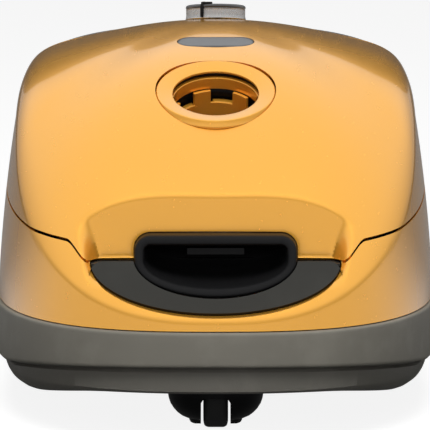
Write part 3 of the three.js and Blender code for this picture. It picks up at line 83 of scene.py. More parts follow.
DIAL_Y, DIAL_Z, DIAL_LEAN, DIAL_R, DIAL_RING_H, POINTER_TURN = 88.0, 229.2, -8.1, 20.0, 7.3, -27.0
PEDAL_X, PEDAL_Y, PEDAL_HALF_X, PEDAL_HALF_Y, PEDAL_PROUD = 80.0, 100.0, 23.0, 30.0, 0.9
WINDOW_Y, WINDOW_LENGTH, WINDOW_WIDTH = -37.0, 48.0, 17.7
VENT_X, VENT_Y = (22.0, 33.0, 44.5, 55.5, 67.0), 74.0
GRILLE_HALF, GRILLE_LOW_Z, GRILLE_TOP_Z = 52.4, 75.6, 106.4
OUTLET_X, OUTLET_Z, OUTLET_R = 72.0, 91.0, 9.35
PARK_HALF, PARK_TOP_Z = 17.35, 64.35
BUMPER_LOW_Z, BUMPER_RISE, BUMPER_RISE_Y = 36.0, 11.6, -125.0
BAG_Y, BAG_LOW_Z, BAG_TOP_Z, BAG_SEAM_Z, BAG_LIMIT = -84.0, 50.5, 146.0, 96.0, -68.0
BAG_HALF_X, BAG_HALF_Y = 81.0, 45.0


def smoothstep(value, low, high):
    t = np.clip((np.asarray(value, float) - low) / (high - low), 0.0, 1.0)
    return t * t * (3 - 2 * t)


def smooth_min(a, b, width):
    h = np.maximum(width - np.abs(a - b), 0) / width
    return np.minimum(a, b) - h * h * width / 4


def smooth_max(a, b, width):
    return -smooth_min(-a, -b, width)


def outline(turn, inset=0.0):
    """Point of the plan outline; turn 0 is the nose."""
    s, c = np.sin(turn), np.cos(turn)
    power = np.where(c > 0, FRONT_POWER, REAR_POWER)
    reach = (np.abs(s) ** power + np.abs(c) ** power) ** (-1 / power)
    return (HALF_WIDTH - inset) * reach * s, -(HALF_LENGTH - inset) * reach * c


def wall_inset(z):
    return WALL_DRAFT * (z - RIM_Z) + WALL_CURVE * (z - RIM_Z) ** 2


def crease_height(y):
    rise = NOSE_CREASE_Z + CREASE_SLOPE * (y + HALF_LENGTH)
    fall = np.maximum(0, (y - SHOULDER_Y) / (HALF_LENGTH - SHOULDER_Y))
    return smooth_min(rise, SHOULDER_Z - TAIL_DROP * fall * fall, 30.0)


def crown(x, y):
    """Low swell over the middle of the dome, round the dial."""
    across = np.maximum(0, 1 - (np.asarray(x, float) / CROWN_HALF) ** 2) ** 2
    front = smoothstep(y, CROWN_FRONT_Y, DOME_Y + 8)
    return CROWN_RISE * across * front * (1 - smoothstep(y, LID_REAR_Y, CROWN_REAR_Y))


def crease_table():
    """Turns from the nose to the tail, and the crease's points there."""
    turns = np.linspace(0, math.pi, 1801)
    z = np.full_like(turns, RIM_Z)
    for _ in range(40):
        z = (z + crease_height(outline(turns, wall_inset(z))[1])) / 2
    x, y = outline(turns, wall_inset(z))
    return turns, x, y, z, np.arctan2(x, DOME_Y - y)


CREASE = crease_table()


def signed(turn):
    """A turn as an angle from -pi to pi."""
    return (np.asarray(turn, float) + math.pi) % FULL_TURN - math.pi


def crease(turn):
    turn = signed(turn)
    x, y, z = (np.interp(np.abs(turn), CREASE[0], row) for row in CREASE[1:4])
    return x * np.sign(turn), y, z


def raw_rise(share, turn, crease_y):
    """The dome's rise before it is evened out: a flattened arc in front, fuller shoulders behind."""
    side = np.sin(turn) ** 2
    k = 0.5 + 0.4 * np.minimum(1.0, 3 * side)
    edge = np.sqrt(1 - k)
    front = (np.sqrt(1 - k * share * share) - edge) / (1 - edge)
    power = np.where(np.cos(turn) > 0, 20, 8 + 12 * side)
    shoulder = 0.45 * (1 - share * share) + 0.55 * np.sqrt(np.maximum(0, 1 - share ** power))
    mix = smoothstep(crease_y, -110, -10)
    return front * (1 - mix) + shoulder * mix


def rise_table(spread=11):
    """Dome heights by turn, in degrees, and distance from the middle, evened out from turn to turn."""
    turns = np.arange(-180, 181)
    share = 1 - (1 - np.linspace(0, 1, 301)) ** 3
    crease_y = np.interp(np.radians(np.abs(turns)), CREASE[0], CREASE[2])
    table = raw_rise(share[None, :], np.radians(turns)[:, None], crease_y[:, None])
    weights = np.exp(-0.5 * (np.arange(-30, 31) / spread) ** 2)
    ring = np.vstack([table[-31:-1], table, table[1:31]])
    return sum(w * ring[k:k + 361] for k, w in enumerate(weights)) / weights.sum()


RISE = rise_table()


def dome_rise(share, turn):
    """How far the dome has risen from its crease (share 1) to its top (share 0)."""
    share = np.clip(np.asarray(share, float), 0, 1)
    turn = np.degrees(signed(turn)) + 180
    u, v = np.broadcast_arrays(turn, (1 - (1 - share) ** (1 / 3)) * 300)
    i, j = np.minimum(u.astype(int), 359), np.minimum(v.astype(int), 299)
    a, b = u - i, v - j
    return ((RISE[i, j] * (1 - b) + RISE[i, j + 1] * b) * (1 - a)
            + (RISE[i + 1, j] * (1 - b) + RISE[i + 1, j + 1] * b) * a)


def dome_height(x, y):
    """Height of the outer dome over points of the plan."""
    x, y = np.asarray(x, float), np.asarray(y, float)
    turn = np.interp(np.arctan2(np.abs(x), DOME_Y - y), CREASE[4], CREASE[0])
    cx, cy, cz = crease(turn)
    share = np.minimum(1, np.hypot(x, y - DOME_Y) / np.hypot(cx, cy - DOME_Y))
    return cz + (TOP_Z - cz) * dome_rise(share, turn) + crown(x, y)


def front_face(x, z):
    """The y of the outer form's front at (x, z)."""
    low, high = -HALF_LENGTH, -100.0
    for _ in range(30):
        middle = (low + high) / 2
        if dome_height(x, middle) < z:
            low = middle
        else:
            high = middle
    inset = wall_inset(z)
    across = max(0.0, 1 - (abs(x) / (HALF_WIDTH - inset)) ** FRONT_POWER)
    return max(low, -(HALF_LENGTH - inset) * across ** (1 / FRONT_POWER))


def recess_pull(points):
    """Moves the points of the front into the hollow over the carrying pocket."""
    x, y, z = np.abs(points[:, 0]), points[:, 1], points[:, 2]
    half = RECESS_LOW + (RECESS_TOP - RECESS_LOW) * (z - PANEL_TOP_Z) / (BROW_Z - PANEL_TOP_Z)
    share = (1 - smoothstep(x, half - 4, half + 7)) * smoothstep(z, RECESS_FOOT_Z, RECESS_FULL_Z)
    out = points.copy()
    plane = RECESS_Y - RECESS_BOW * np.minimum(x, half) ** 2
    out[:, 1] = y + (smooth_max(y, plane, 1.8) - y) * share
    return out


def full_column(turn):
    """The outer form's line from the dome's middle down to the rim, every 0.6 mm, its crease eased."""
    cx, cy, cz = (float(v) for v in crease(turn))
    share = np.concatenate([np.linspace(0, 0.9, 400), 1 - 0.1 * (1 - np.linspace(0, 1, 240)[1:]) ** 3])
    dx, dy = cx * share, DOME_Y + (cy - DOME_Y) * share
    dome = np.stack([dx, dy, cz + (TOP_Z - cz) * dome_rise(share, turn) + crown(dx, dy)], axis=1)
    z = np.linspace(cz, RIM_Z, 160)[1:]
    wx, wy = outline(turn, wall_inset(z))
    line = resample(np.vstack([dome, np.stack([wx, wy, z], axis=1)]), spacing=0.6)
    distance = np.linalg.norm(line - np.array([cx, cy, cz]), axis=1)
    near = np.clip(1 - distance / 7, 0, 1)[:, None] ** 0.5
    for _ in range(14):
        eased = line.copy()
        eased[1:-1] = (line[:-2] + 2 * line[1:-1] + line[2:]) / 4
        line = line + (eased - line) * near
    return line


def resample(line, count=None, spacing=None, bias=1.0):
    """Points at even distances along a line; a bias over 1 packs them towards its end."""
    steps = np.linalg.norm(np.diff(line, axis=0), axis=1)
    run = np.concatenate([[0], np.cumsum(steps)])
    if count is None:
        count = max(2, int(run[-1] / spacing) + 1)
    share = 1 - (1 - np.linspace(0, 1, count)) ** bias
    return np.stack([np.interp(share * run[-1], run, line[:, k]) for k in range(3)], axis=1)


def seam_plane(y):
    return SEAM_Z + SEAM_SLOPE * y


def lid_edge(x, y):
    """Height of the joint under the lid: level over the panel, an S-curve, then the sloping seam."""
    share = smoothstep(np.abs(x), EDGE_CURVE_IN_X, EDGE_CURVE_OUT_X)
    return PANEL_TOP_Z + (seam_plane(y) - PANEL_TOP_Z) * share


def tail_plane(y):
    return seam_plane(LID_REAR_Y) + TAIL_SEAM_SLOPE * (y - LID_REAR_Y)


def body_edge(x, y):
    before = np.where(y < FRONT_SEAM_Y, lid_edge(x, y), seam_plane(y))
    return np.where(y > LID_REAR_Y, tail_plane(y), before)


def arch_edge(y):
    """Lowest height of the outer wall over the rear wheels."""
    inside = WHEEL_ROOM ** 2 - (y - WHEEL_Y) ** 2
    return np.where(inside > 0, WHEEL_R + np.sqrt(np.maximum(inside, 0)), 0)


def cut(line, signs):
    """The stretch of a line where signs are positive, ended exactly where they change."""
    inside = np.flatnonzero(signs > 0)
    if len(inside) < 2:
        return None
    first, last = inside[0], inside[-1]
    points = [line[first:last + 1]]
    if first > 0:
        t = signs[first] / (signs[first] - signs[first - 1])
        points.insert(0, (line[first] + (line[first - 1] - line[first]) * t)[None])
    if last < len(line) - 1:
        t = signs[last] / (signs[last] - signs[last + 1])
        points.append((line[last] + (line[last + 1] - line[last]) * t)[None])
    return np.vstack(points)


# ---- settings -----------------------------------------------------------------------------------
class ShellSettings(bpy.types.PropertyGroup):
    """Sizes of the moulded shells."""
    wall: FloatProperty(name="Wall", description="Thickness of the outer shells",
                        default=0.0024, subtype="DISTANCE", unit="LENGTH")
    gap: FloatProperty(name="Seam", description="Gap between neighbouring shells",
                       default=0.0015, subtype="DISTANCE", unit="LENGTH")
    edge: FloatProperty(name="Edge radius", description="Rounding of the moulded edges",
                        default=0.0005, subtype="DISTANCE", unit="LENGTH")
    rows: IntProperty(name="Rows", description="Points down each line of a shell", default=150, min=20)
    turns: IntProperty(name="Lines", description="Lines round the whole body", default=260, min=60)


class DialSettings(bpy.types.PropertyGroup):
    """The knurled power dial."""
    knurls: IntProperty(name="Knurls", description="Diamonds round the ring", default=88, min=12)
    depth: FloatProperty(name="Depth", description="Depth of the knurling",
                         default=0.00038, subtype="DISTANCE", unit="LENGTH")


class StudioSettings(bpy.types.PropertyGroup):
    """Camera and light."""
    distance: FloatProperty(name="Distance", description="Camera before the body's middle",
                            default=2.484, subtype="DISTANCE", unit="LENGTH")
    height: FloatProperty(name="Height", description="Camera over the floor",
                          default=0.4048, subtype="DISTANCE", unit="LENGTH")
    pitch: FloatProperty(name="Pitch", description="Downward tilt of the camera",
                         default=math.radians(6.76), subtype="ANGLE", unit="ROTATION")
    lens: FloatProperty(name="Lens", description="Focal length", default=326.7, subtype="DISTANCE_CAMERA")
    shift: FloatProperty(name="Shift", description="Sideways shift of the frame", default=-0.0016)
    key: FloatProperty(name="Key light", description="Power of the large lamp over the nose",
                       default=66.0, unit="POWER", subtype="POWER")
    fill: FloatProperty(name="Fill light", description="Power of the lamp before the nose",
                        default=17.0, unit="POWER", subtype="POWER")


class FinishSettings(bpy.types.PropertyGroup):
    """Colours of the main finishes."""
    yellow: FloatVectorProperty(name="Yellow", description="Lid, body and port", subtype="COLOR",
                                size=3, default=(0.95, 0.455, 0.052))
    grey: FloatVectorProperty(name="Warm grey", description="Lower shell", subtype="COLOR",
                              size=3, default=(0.195, 0.186, 0.162))
    bumper: FloatVectorProperty(name="Bumper", description="Soft bumper", subtype="COLOR",
                                size=3, default=(0.25, 0.236, 0.2))
    panel: FloatVectorProperty(name="Panel", description="Dark front panel", subtype="COLOR",
                               size=3, default=(0.026, 0.0255, 0.022))


class VacuumSettings(bpy.types.PropertyGroup):
    """All the settings of the vacuum cleaner."""
    shell: PointerProperty(type=ShellSettings)
    dial: PointerProperty(type=DialSettings)
    studio: PointerProperty(type=StudioSettings)
    finish: PointerProperty(type=FinishSettings)


# ---- shader fields ------------------------------------------------------------------------------
class Field:
    """A value that varies over a surface. Sums of fields and numbers add Math nodes."""

    def __init__(self, tree, socket):
        self.tree, self.socket = tree, socket

    def math(self, operation, *values):
        node = self.tree.add("ShaderNodeMath", {"operation": operation}, *values)
        return Field(self.tree, node.outputs[0])

    def __add__(self, other):
        return self.math("ADD", self, other)

    def __sub__(self, other):
        return self.math("SUBTRACT", self, other)

    def __rsub__(self, other):
        return self.math("SUBTRACT", other, self)

    def __mul__(self, other):
        return self.math("MULTIPLY", self, other)

    def __truediv__(self, other):
        return self.math("DIVIDE", self, other)

    def __rtruediv__(self, other):
        return self.math("DIVIDE", other, self)

    def __pow__(self, other):
        return self.math("POWER", self, other)

    def __abs__(self):
        return self.math("ABSOLUTE", self)

    __radd__, __rmul__ = __add__, __mul__

    def ramp(self, low, high):
        """0 up to low and 1 from high on, eased between them; low may be over high."""
        node = self.tree.add("ShaderNodeMapRange", {"interpolation_type": "SMOOTHSTEP"},
                             self, low, high, 0.0, 1.0)
        return Field(self.tree, node.outputs["Result"])


class Tree:
    """A node tree that nodes are added to by type, settings and inputs."""

    def __init__(self, tree):
        self.nodes, self.links = tree.nodes, tree.links
        self.nodes.clear()

    def add(self, kind, settings=None, *inputs, **named):
        node = self.nodes.new(kind)
        for name, value in (settings or {}).items():
            setattr(node, name, value)
        sockets = list(zip(node.inputs, inputs))
        sockets += [(node.inputs[name.replace("_", " ")], value) for name, value in named.items()]
        for socket, value in sockets:
            self.feed(socket, value)
        return node

    def feed(self, socket, value):
        """Gives an input a link or a value."""
        if isinstance(value, Field):
            value = value.socket
        if isinstance(value, bpy.types.NodeSocket):
            self.links.new(value, socket)
        elif value is not None:
            socket.default_value = value

    def place(self, scale=(1, 1, 1), turn=(0, 0, 0)):
        """The object's own coordinates in metres, scaled and turned."""
        coords = self.add("ShaderNodeTexCoord").outputs["Object"]
        return self.add("ShaderNodeMapping", None, coords, None, turn, scale).outputs[0]

    def noise(self, scale, detail=2.0, rough=0.5, stretch=(1, 1, 1), turn=(0, 0, 0)):
        node = self.add("ShaderNodeTexNoise", None, Vector=self.place(stretch, turn), Scale=scale,
                        Detail=detail, Roughness=rough)
        return Field(self, node.outputs[0])

    def cells(self, scale):
        node = self.add("ShaderNodeTexVoronoi", None, Vector=self.place(), Scale=scale)
        return Field(self, node.outputs["Distance"])

    def mix(self, factor, a, b):
        """A colour between two colours."""
        node = self.add("ShaderNodeMix", {"data_type": "RGBA"})
        self.feed(node.inputs[0], factor)
        for socket, value in ((node.inputs[6], a), (node.inputs[7], b)):
            self.feed(socket, value if isinstance(value, bpy.types.NodeSocket) else (*value[:3], 1))
        return node.outputs[2]

    def bump(self, height, strength, distance, normal=None):
        return self.add("ShaderNodeBump", None, Height=height, Strength=strength, Distance=distance,
                        Normal=normal).outputs[0]

    def surface(self, **sockets):
        shader = self.add("ShaderNodeBsdfPrincipled", None, **sockets)
        self.add("ShaderNodeOutputMaterial", None, shader.outputs[0])


def tone(colour, factor):
    return tuple(min(1.0, part * factor) for part in colour[:3])


# ---- finishes -----------------------------------------------------------------------------------
def gloss_plastic(tree, colour, rough, coat, coat_rough, peel, drift, pearl=0.0, shine=0.5):
    """Lacquered moulding: faint colour drift, orange peel, and hairline wiping marks in its gloss."""
    patch = tree.noise(9, 3)
    marks = tree.noise(160, 5, 0.7, stretch=(1, 0.06, 1), turn=(0.2, 0.1, 0.7))
    tree.surface(
        Base_Color=tree.mix(patch, tone(colour, 1 - drift), tone(colour, 1 + drift)),
        Roughness=marks.ramp(0.35, 0.85) * 0.05 + rough, Metallic=pearl,
        Coat_Weight=coat, Coat_Roughness=coat_rough, Coat_IOR=1.5, Specular_IOR_Level=shine,
        Normal=tree.bump(tree.noise(420, 1), peel, 0.0002))


def grained_plastic(tree, colour, rough=0.5, grain=1500, depth=0.00006, strength=0.5):
    """Spark-eroded grain with polished tops, a little paler where hands and walls rub it."""
    fine, broad = tree.cells(grain), tree.noise(26, 4)
    rub = (tree.noise(60, 3) + broad).ramp(0.95, 1.35)
    base = tree.mix(broad, tone(colour, 0.94), tone(colour, 1.06))
    tree.surface(
        Base_Color=tree.mix(rub * 0.25, base, tone(colour, 1.5)),
        Roughness=fine.ramp(0, 0.7) * 0.16 + (rough - 0.08) - rub * 0.05, Specular_IOR_Level=0.25,
        Normal=tree.bump(fine, strength, depth))


def soft_rubber(tree, colour, rough=0.72):
    """Moulded rubber with a dusty bloom in broad patches."""
    speck, patch = tree.noise(1900, 2), tree.noise(34, 4, 0.6)
    bloom = patch.ramp(0.45, 0.75)
    tree.surface(
        Base_Color=tree.mix(bloom * 0.35, colour, tone(colour, 1.9)),
        Roughness=bloom * 0.1 + rough,
        Normal=tree.bump(speck, 0.35, 0.00008))


def brushed_metal(tree, colour, rough=0.3, stretch=(1, 1, 0.04), scale=900):
    """Metal with fine drawn lines and faint stains."""
    lines, stain = tree.noise(scale, 3, 0.6, stretch=stretch), tree.noise(30, 4)
    tree.surface(
        Base_Color=tree.mix(stain, tone(colour, 0.88), tone(colour, 1.08)),
        Metallic=1.0, Roughness=lines * 0.22 + (rough - 0.1) + stain.ramp(0.5, 0.8) * 0.06,
        Normal=tree.bump(lines, 0.15, 0.00005))


def winding(tree, colour):
    """Enamelled copper wire laid side by side, with painted shade in the gaps between the wires."""
    wire = tree.add("ShaderNodeTexWave", {"bands_direction": "Y"}, Vector=tree.place(), Scale=560.0)
    strand_and_gap_shade = Field(tree, wire.outputs[1])
    # Painted shade: the wire's colour darkens towards the gaps between the wires.
    tree.surface(Base_Color=tree.mix(strand_and_gap_shade, tone(colour, 0.35), colour), Metallic=1.0,
                 Roughness=0.42 - strand_and_gap_shade * 0.12, Normal=tree.bump(strand_and_gap_shade, 0.7, 0.0003))


def fleece(tree, colour):
    """Non-woven fleece: tangled fibres with embossed dots."""
    fibre = tree.noise(800, 8, 0.75, stretch=(1, 0.35, 1)) + tree.noise(700, 8, 0.75, stretch=(0.3, 1, 1))
    dots = tree.cells(420).ramp(0.28, 0.42)
    tree.surface(
        Base_Color=tree.mix(fibre.ramp(0.7, 1.3), tone(colour, 0.72), tone(colour, 1.05)),
        Roughness=0.94 - dots * 0.04, Sheen_Weight=0.35, Sheen_Roughness=0.5,
        Normal=tree.bump(dots, 0.5, 0.0002, tree.bump(fibre, 0.5, 0.0003)))


def open_foam(tree, colour):
    """Open-cell foam: a net of struts round pores, with painted shade darkening the pores."""
    pore_and_shade = tree.cells(520).ramp(0.15, 0.6)
    # Painted shade: the pores are painted darker than the struts.
    tree.surface(Base_Color=tree.mix(pore_and_shade, tone(colour, 0.3), tone(colour, 1.5)),
                 Roughness=0.9 + pore_and_shade * 0.08, Normal=tree.bump(pore_and_shade, 0.9, 0.0006))


def circuit_board(tree, colour):
    """Solder mask with darker board between the tracks under it."""
    node = tree.add("ShaderNodeTexBrick", {"offset": 0.5}, Vector=tree.place(), Scale=190.0, Mortar_Size=0.18)
    track = Field(tree, node.outputs[1])
    tree.surface(Base_Color=tree.mix(track, tone(colour, 1.5), tone(colour, 0.8)),
                 Roughness=0.4 + track * 0.15, Coat_Weight=0.4, Normal=tree.bump(track, 0.3, 0.00008))


def recipes():
    finish = bpy.context.scene.vacuum.finish
    return {
        "yellow_gloss": (gloss_plastic, finish.yellow, 0.24, 0.65, 0.03, 0.012, 0.03, 0.5, 0.3),
        "warm_grey": (grained_plastic, finish.grey, 0.46, 1300),
        "bumper": (grained_plastic, finish.bumper, 0.5, 1900, 0.00004, 0.4),
        "dark_panel": (grained_plastic, finish.panel, 0.42, 1700, 0.00004, 0.35),
        "black": (gloss_plastic, (0.0085, 0.0085, 0.009), 0.38, 0.0, 0.1, 0.02, 0.1, 0.0, 0.12),
        "cap_gloss": (gloss_plastic, (0.012, 0.012, 0.0125), 0.16, 1.0, 0.05, 0.01, 0.1),
        "rubber": (soft_rubber, (0.04, 0.04, 0.04)),
        "satin_metal": (brushed_metal, (0.46, 0.455, 0.45), 0.24, (1, 1, 0.2)),
        "steel": (brushed_metal, (0.55, 0.55, 0.56), 0.34, (0.05, 1, 1)),
        "aluminium": (brushed_metal, (0.68, 0.68, 0.7), 0.42, (1, 0.2, 1)),
        "copper": (winding, (0.72, 0.42, 0.25)),
        "grey_blue": (gloss_plastic, (0.17, 0.19, 0.215), 0.3, 0.6, 0.08, 0.02, 0.04),
        "window": (gloss_plastic, (0.075, 0.08, 0.088), 0.3, 0.3, 0.08, 0.01, 0.04),
        "marks": (gloss_plastic, (0.42, 0.43, 0.45), 0.4, 0.2, 0.1, 0.01, 0.03),
        "pale_grey": (grained_plastic, (0.46, 0.46, 0.46), 0.55, 1100),
        "fleece": (fleece, (0.78, 0.76, 0.7)),
        "foam": (open_foam, (0.05, 0.07, 0.09)),
        "board": (circuit_board, (0.03, 0.16, 0.06)),
    }


def material(slot):
    """The finish of a material slot, made when it is first asked for."""
    name = f"finish_{slot}"
    if name not in bpy.data.materials:
        made = bpy.data.materials.new(name)
        made.use_nodes = True
        build, *values = recipes()[slot]
        build(Tree(made.node_tree), *values)
    return bpy.data.materials[name]


# ---- pieces -------------------------------------------------------------------------------------
def add_piece(name, points, faces, slot, body, replaced=(), place=None):
    """A mesh from millimetre points, with its finish, riding on its body in place of CAD nodes."""
    mesh = bpy.data.meshes.new(name)
    local = np.asarray(points, float) * 0.001
    mesh.from_pydata(local.tolist(), [], faces)
    if place is not None:
        mesh.transform(place)
    mesh.validate()
    mesh.update()
    if len(mesh.polygons) == 0:
        raise RuntimeError(f"{name} has no faces")
    mesh.polygons.foreach_set("use_smooth", [True] * len(mesh.polygons))
    piece = bpy.data.objects.new(name, mesh)
    bpy.context.scene.collection.objects.link(piece)
    mesh.materials.append(material(slot))
    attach(piece, body)
    if replaced:
        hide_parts(*replaced)
    return piece


def flip(piece):
    """Turns a piece's faces over if they point inwards."""
    mesh = piece.data
    points = np.empty(len(mesh.vertices) * 3)
    mesh.vertices.foreach_get("co", points)
    points = points.reshape(-1, 3)
    total = 0.0
    for face in mesh.polygons:
        a = points[face.vertices[0]]
        for k in range(1, len(face.vertices) - 1):
            total += a @ np.cross(points[face.vertices[k]], points[face.vertices[k + 1]])
    if total < 0:
        mesh.flip_normals()
    return piece


def add_solid(*values):
    """A piece as in add_piece, with its faces pointing outwards."""
    return flip(add_piece(*values))


def modify(piece, kind, **settings):
    modifier = piece.modifiers.new(kind.title(), kind)
    for name, value in settings.items():
        setattr(modifier, name, value)


def thicken(piece, thickness, offset=-1.0):
    """Gives a skin a wall; offset -1 grows it inwards, 1 outwards and 0 to both sides."""
    modify(piece, "SOLIDIFY", thickness=thickness, offset=offset, use_rim=True)


def finish_edges(piece, width, angle=35, segments=2):
    modify(piece, "BEVEL", width=width, segments=segments, limit_method="ANGLE",
           angle_limit=math.radians(angle), harden_normals=True, use_clamp_overlap=True)


def apply_all(piece):
    """Turns a piece's modifiers into plain mesh."""
    graph = bpy.context.evaluated_depsgraph_get()
    mesh = bpy.data.meshes.new_from_object(piece.evaluated_get(graph))
    piece.modifiers.clear()
    piece.data = mesh


def grid(rows, closed=False):
    """Faces of a grid of rows; closed joins each row's end to its start."""
    width = len(rows[0])
    faces = []
    for a in range(0, (len(rows) - 1) * width, width):
        for c in range(width if closed else width - 1):
            d = (c + 1) % width
            faces.append((a + c, a + d, a + width + d, a + width + c))
    return faces


def loft(rows, first=False, last=False):
    """Points and faces over closed rows; first and last fill the end rows."""
    points = [point for row in rows for point in row]
    faces, width = grid(rows, closed=True), len(rows[0])
    if first:
        faces.append(tuple(range(width))[::-1])
    if last:
        faces.append(tuple(range(len(points) - width, len(points))))
    return points, faces


def around(steps):
    """The angles of a full turn, without its end."""
    return np.linspace(0, FULL_TURN, steps, endpoint=False)


def oval(x, y, half_x, half_y, steps):
    """Outline of an ellipse round (x, y)."""
    return [(x + half_x * math.cos(turn), y + half_y * math.sin(turn)) for turn in around(steps)]


def rectangle(half, low, high):
    """Outline of a rectangle astride the middle plane."""
    return [(-half, low), (half, low), (half, high), (-half, high)]


def pill(length, width, steps, upright=False):
    """Outline of a bar with round ends."""
    points = []
    for side in (1, -1):
        for turn in np.linspace(-side * math.pi / 2, math.pi - side * math.pi / 2, steps + 1):
            u = side * (length - width) / 2 + width / 2 * math.cos(turn)
            v = width / 2 * math.sin(turn)
            points.append((-v, u) if upright else (u, v))
    return points


def box_points(x0, x1, y0, y1, z0, z1):
    """Points and faces of a box."""
    points = [(x, y, z) for z in (z0, z1) for x, y in ((x0, y0), (x1, y0), (x1, y1), (x0, y1))]
    return points, [(3, 2, 1, 0), (4, 5, 6, 7), (0, 1, 5, 4), (1, 2, 6, 5), (2, 3, 7, 6), (3, 0, 4, 7)]


def rings(profile, steps):
    """Rows turned round Z from (radius, height) pairs."""
    return [[(x, y, height) for x, y in oval(0, 0, radius, radius, steps)] for radius, height in profile]


def lathe(profile, steps=96):
    """Points and faces turned round Z from a closed profile of (radius, height) pairs."""
    points, faces = loft(rings(profile, steps))
    end = len(points) - steps
    faces += [(end + c, end + (c + 1) % steps, (c + 1) % steps, c) for c in range(steps)]
    return points, faces


def capped_lathe(profile, steps=96):
    """A turned solid whose first and last rings are filled."""
    return loft(rings(profile, steps), True, True)


def rounded(profile, radius, steps=4):
    """A closed (radius, height) profile with its corners rounded."""
    out = []
    count = len(profile)
    for i in range(count):
        before, here, after = (np.array(profile[k % count], float) for k in (i - 1, i, i + 1))
        reach = min(radius, np.linalg.norm(before - here) * 0.45, np.linalg.norm(after - here) * 0.45)
        a = here + (before - here) / max(np.linalg.norm(before - here), 1e-9) * reach
        b = here + (after - here) / max(np.linalg.norm(after - here), 1e-9) * reach
        for k in range(steps + 1):
            t = k / steps
            out.append(tuple((1 - t) ** 2 * a + 2 * t * (1 - t) * here + t * t * b))
    return out


def placed(x=0.0, y=0.0, z=0.0, rx=0.0, ry=0.0, rz=0.0):
    turn = Euler((math.radians(rx), math.radians(ry), math.radians(rz))).to_matrix().to_4x4()
    return Matrix.Translation(Vector((x, y, z)) * 0.001) @ turn


def port_place():
    return placed(0, PORT_Y, PORT_Z, rx=PORT_TILT)


def cutter(name, points, faces, place=None):
    """A mesh for carve() to take away from a piece."""
    mesh = bpy.data.meshes.new(name)
    mesh.from_pydata((np.asarray(points, float) * 0.001).tolist(), [], faces)
    if place is not None:
        mesh.transform(place)
    tool = bpy.data.objects.new(name, mesh)
    bpy.context.scene.collection.objects.link(tool)
    return tool


def prism(outline_points, low, high, axis="Z"):
    """Points and faces of a straight prism; axis Z takes (x, y) points, Y takes (x, z), X takes (y, z)."""
    order = {"Z": (0, 1, 2), "Y": (0, 2, 1), "X": (2, 0, 1)}[axis]
    rows = [[tuple((u, v, w)[k] for k in order) for u, v in outline_points] for w in (low, high)]
    points, faces = loft(rows, True, True)
    return points, [face[::-1] for face in faces] if axis == "Y" else faces


def carve(piece, *tools):
    """Takes the tools away from a piece for good, and removes them."""
    for tool in tools:
        modify(piece, "BOOLEAN", operation="DIFFERENCE", solver="EXACT", object=tool)
    apply_all(piece)
    for tool in tools:
        bpy.data.objects.remove(tool, do_unlink=True)


# ---- outer shells -------------------------------------------------------------------------------
def shell_turns(extra=()):
    """Turns round the body, finer over the nose, with extra turns on both sides."""
    nose = np.radians(np.arange(-45, 45.01, 0.5)) % FULL_TURN
    rest = np.linspace(math.radians(45), math.radians(315), bpy.context.scene.vacuum.shell.turns)[1:-1]
    extra = np.asarray(extra, float)
    return np.sort(np.concatenate([nose, rest, extra, FULL_TURN - extra]))


def turns_at(ys):
    """The turns at which the outline behind the middle passes these y values."""
    turns = np.linspace(math.radians(92), math.radians(179), 800)
    return np.interp(ys, outline(turns)[1], turns)


def half_seam():
    """Half the gap between neighbouring shells, in millimetres."""
    return bpy.context.scene.vacuum.shell.gap * 500


def strips(sign_of, turns, rows, bias=1.0, pull=True):
    """A shell of neighbouring lines, each cut where sign_of is positive, with where its points start."""
    columns = []
    for turn in turns:
        line = full_column(float(turn))
        if pull:
            line = recess_pull(line)
        piece = cut(line, sign_of(line))
        columns.append(None if piece is None else resample(piece, rows, bias=bias))
    points, faces, index = [], [], {}
    for i, column in enumerate(columns):
        if column is not None:
            index[i] = len(points)
            points += column.tolist()
    for i, a in index.items():
        b = index.get((i + 1) % len(columns))
        if b is not None:
            faces += [(a + r, a + r + 1, b + r + 1, b + r) for r in range(rows - 1)]
    return points, faces, index, columns


def lid_corner(inside):
    """The turn at which the lid's side edge meets its rear edge."""
    low, high = math.radians(60), math.radians(120)
    for _ in range(30):
        middle = (low + high) / 2
        line = full_column(middle)
        if cut(line, inside(line))[-1][1] < LID_REAR_Y - 0.2:
            low = middle
        else:
            high = middle
    return (low + high) / 2


def build_lid():
    """The hinged lid with its brow and recess, cut for the hose port and the indicator window."""
    settings, gap = bpy.context.scene.vacuum.shell, half_seam()

    def inside(line):
        x, y, z = line.T
        side = np.minimum(z - seam_plane(y) - gap, LID_REAR_Y - 0.1 - y)
        return np.where(y > FRONT_SEAM_Y, side, z - lid_edge(x, y) - gap)

    corner = lid_corner(inside)
    turns = shell_turns([corner, corner - 0.004, corner + 0.004])
    points, faces = strips(inside, turns, settings.rows, bias=1.55)[:2]
    piece = add_piece("fine_lid", points, faces, "yellow_gloss", "lid", ("lid",))
    modify(piece, "WELD", merge_threshold=0.00002)
    thicken(piece, settings.wall)
    window = prism(pill(WINDOW_LENGTH + 0.7, WINDOW_WIDTH + 0.7, 24), 200, 260)
    port = capped_lathe([(39.4, -26), (39.4, -9), (38.4, -3.6), (37.0, 1), (36.8, 14)])
    carve(piece, cutter("window_hole", *window, placed(y=WINDOW_Y)),
          flip(cutter("port_hole", *port, port_place())), pocket_hole())
    finish_edges(piece, settings.edge)


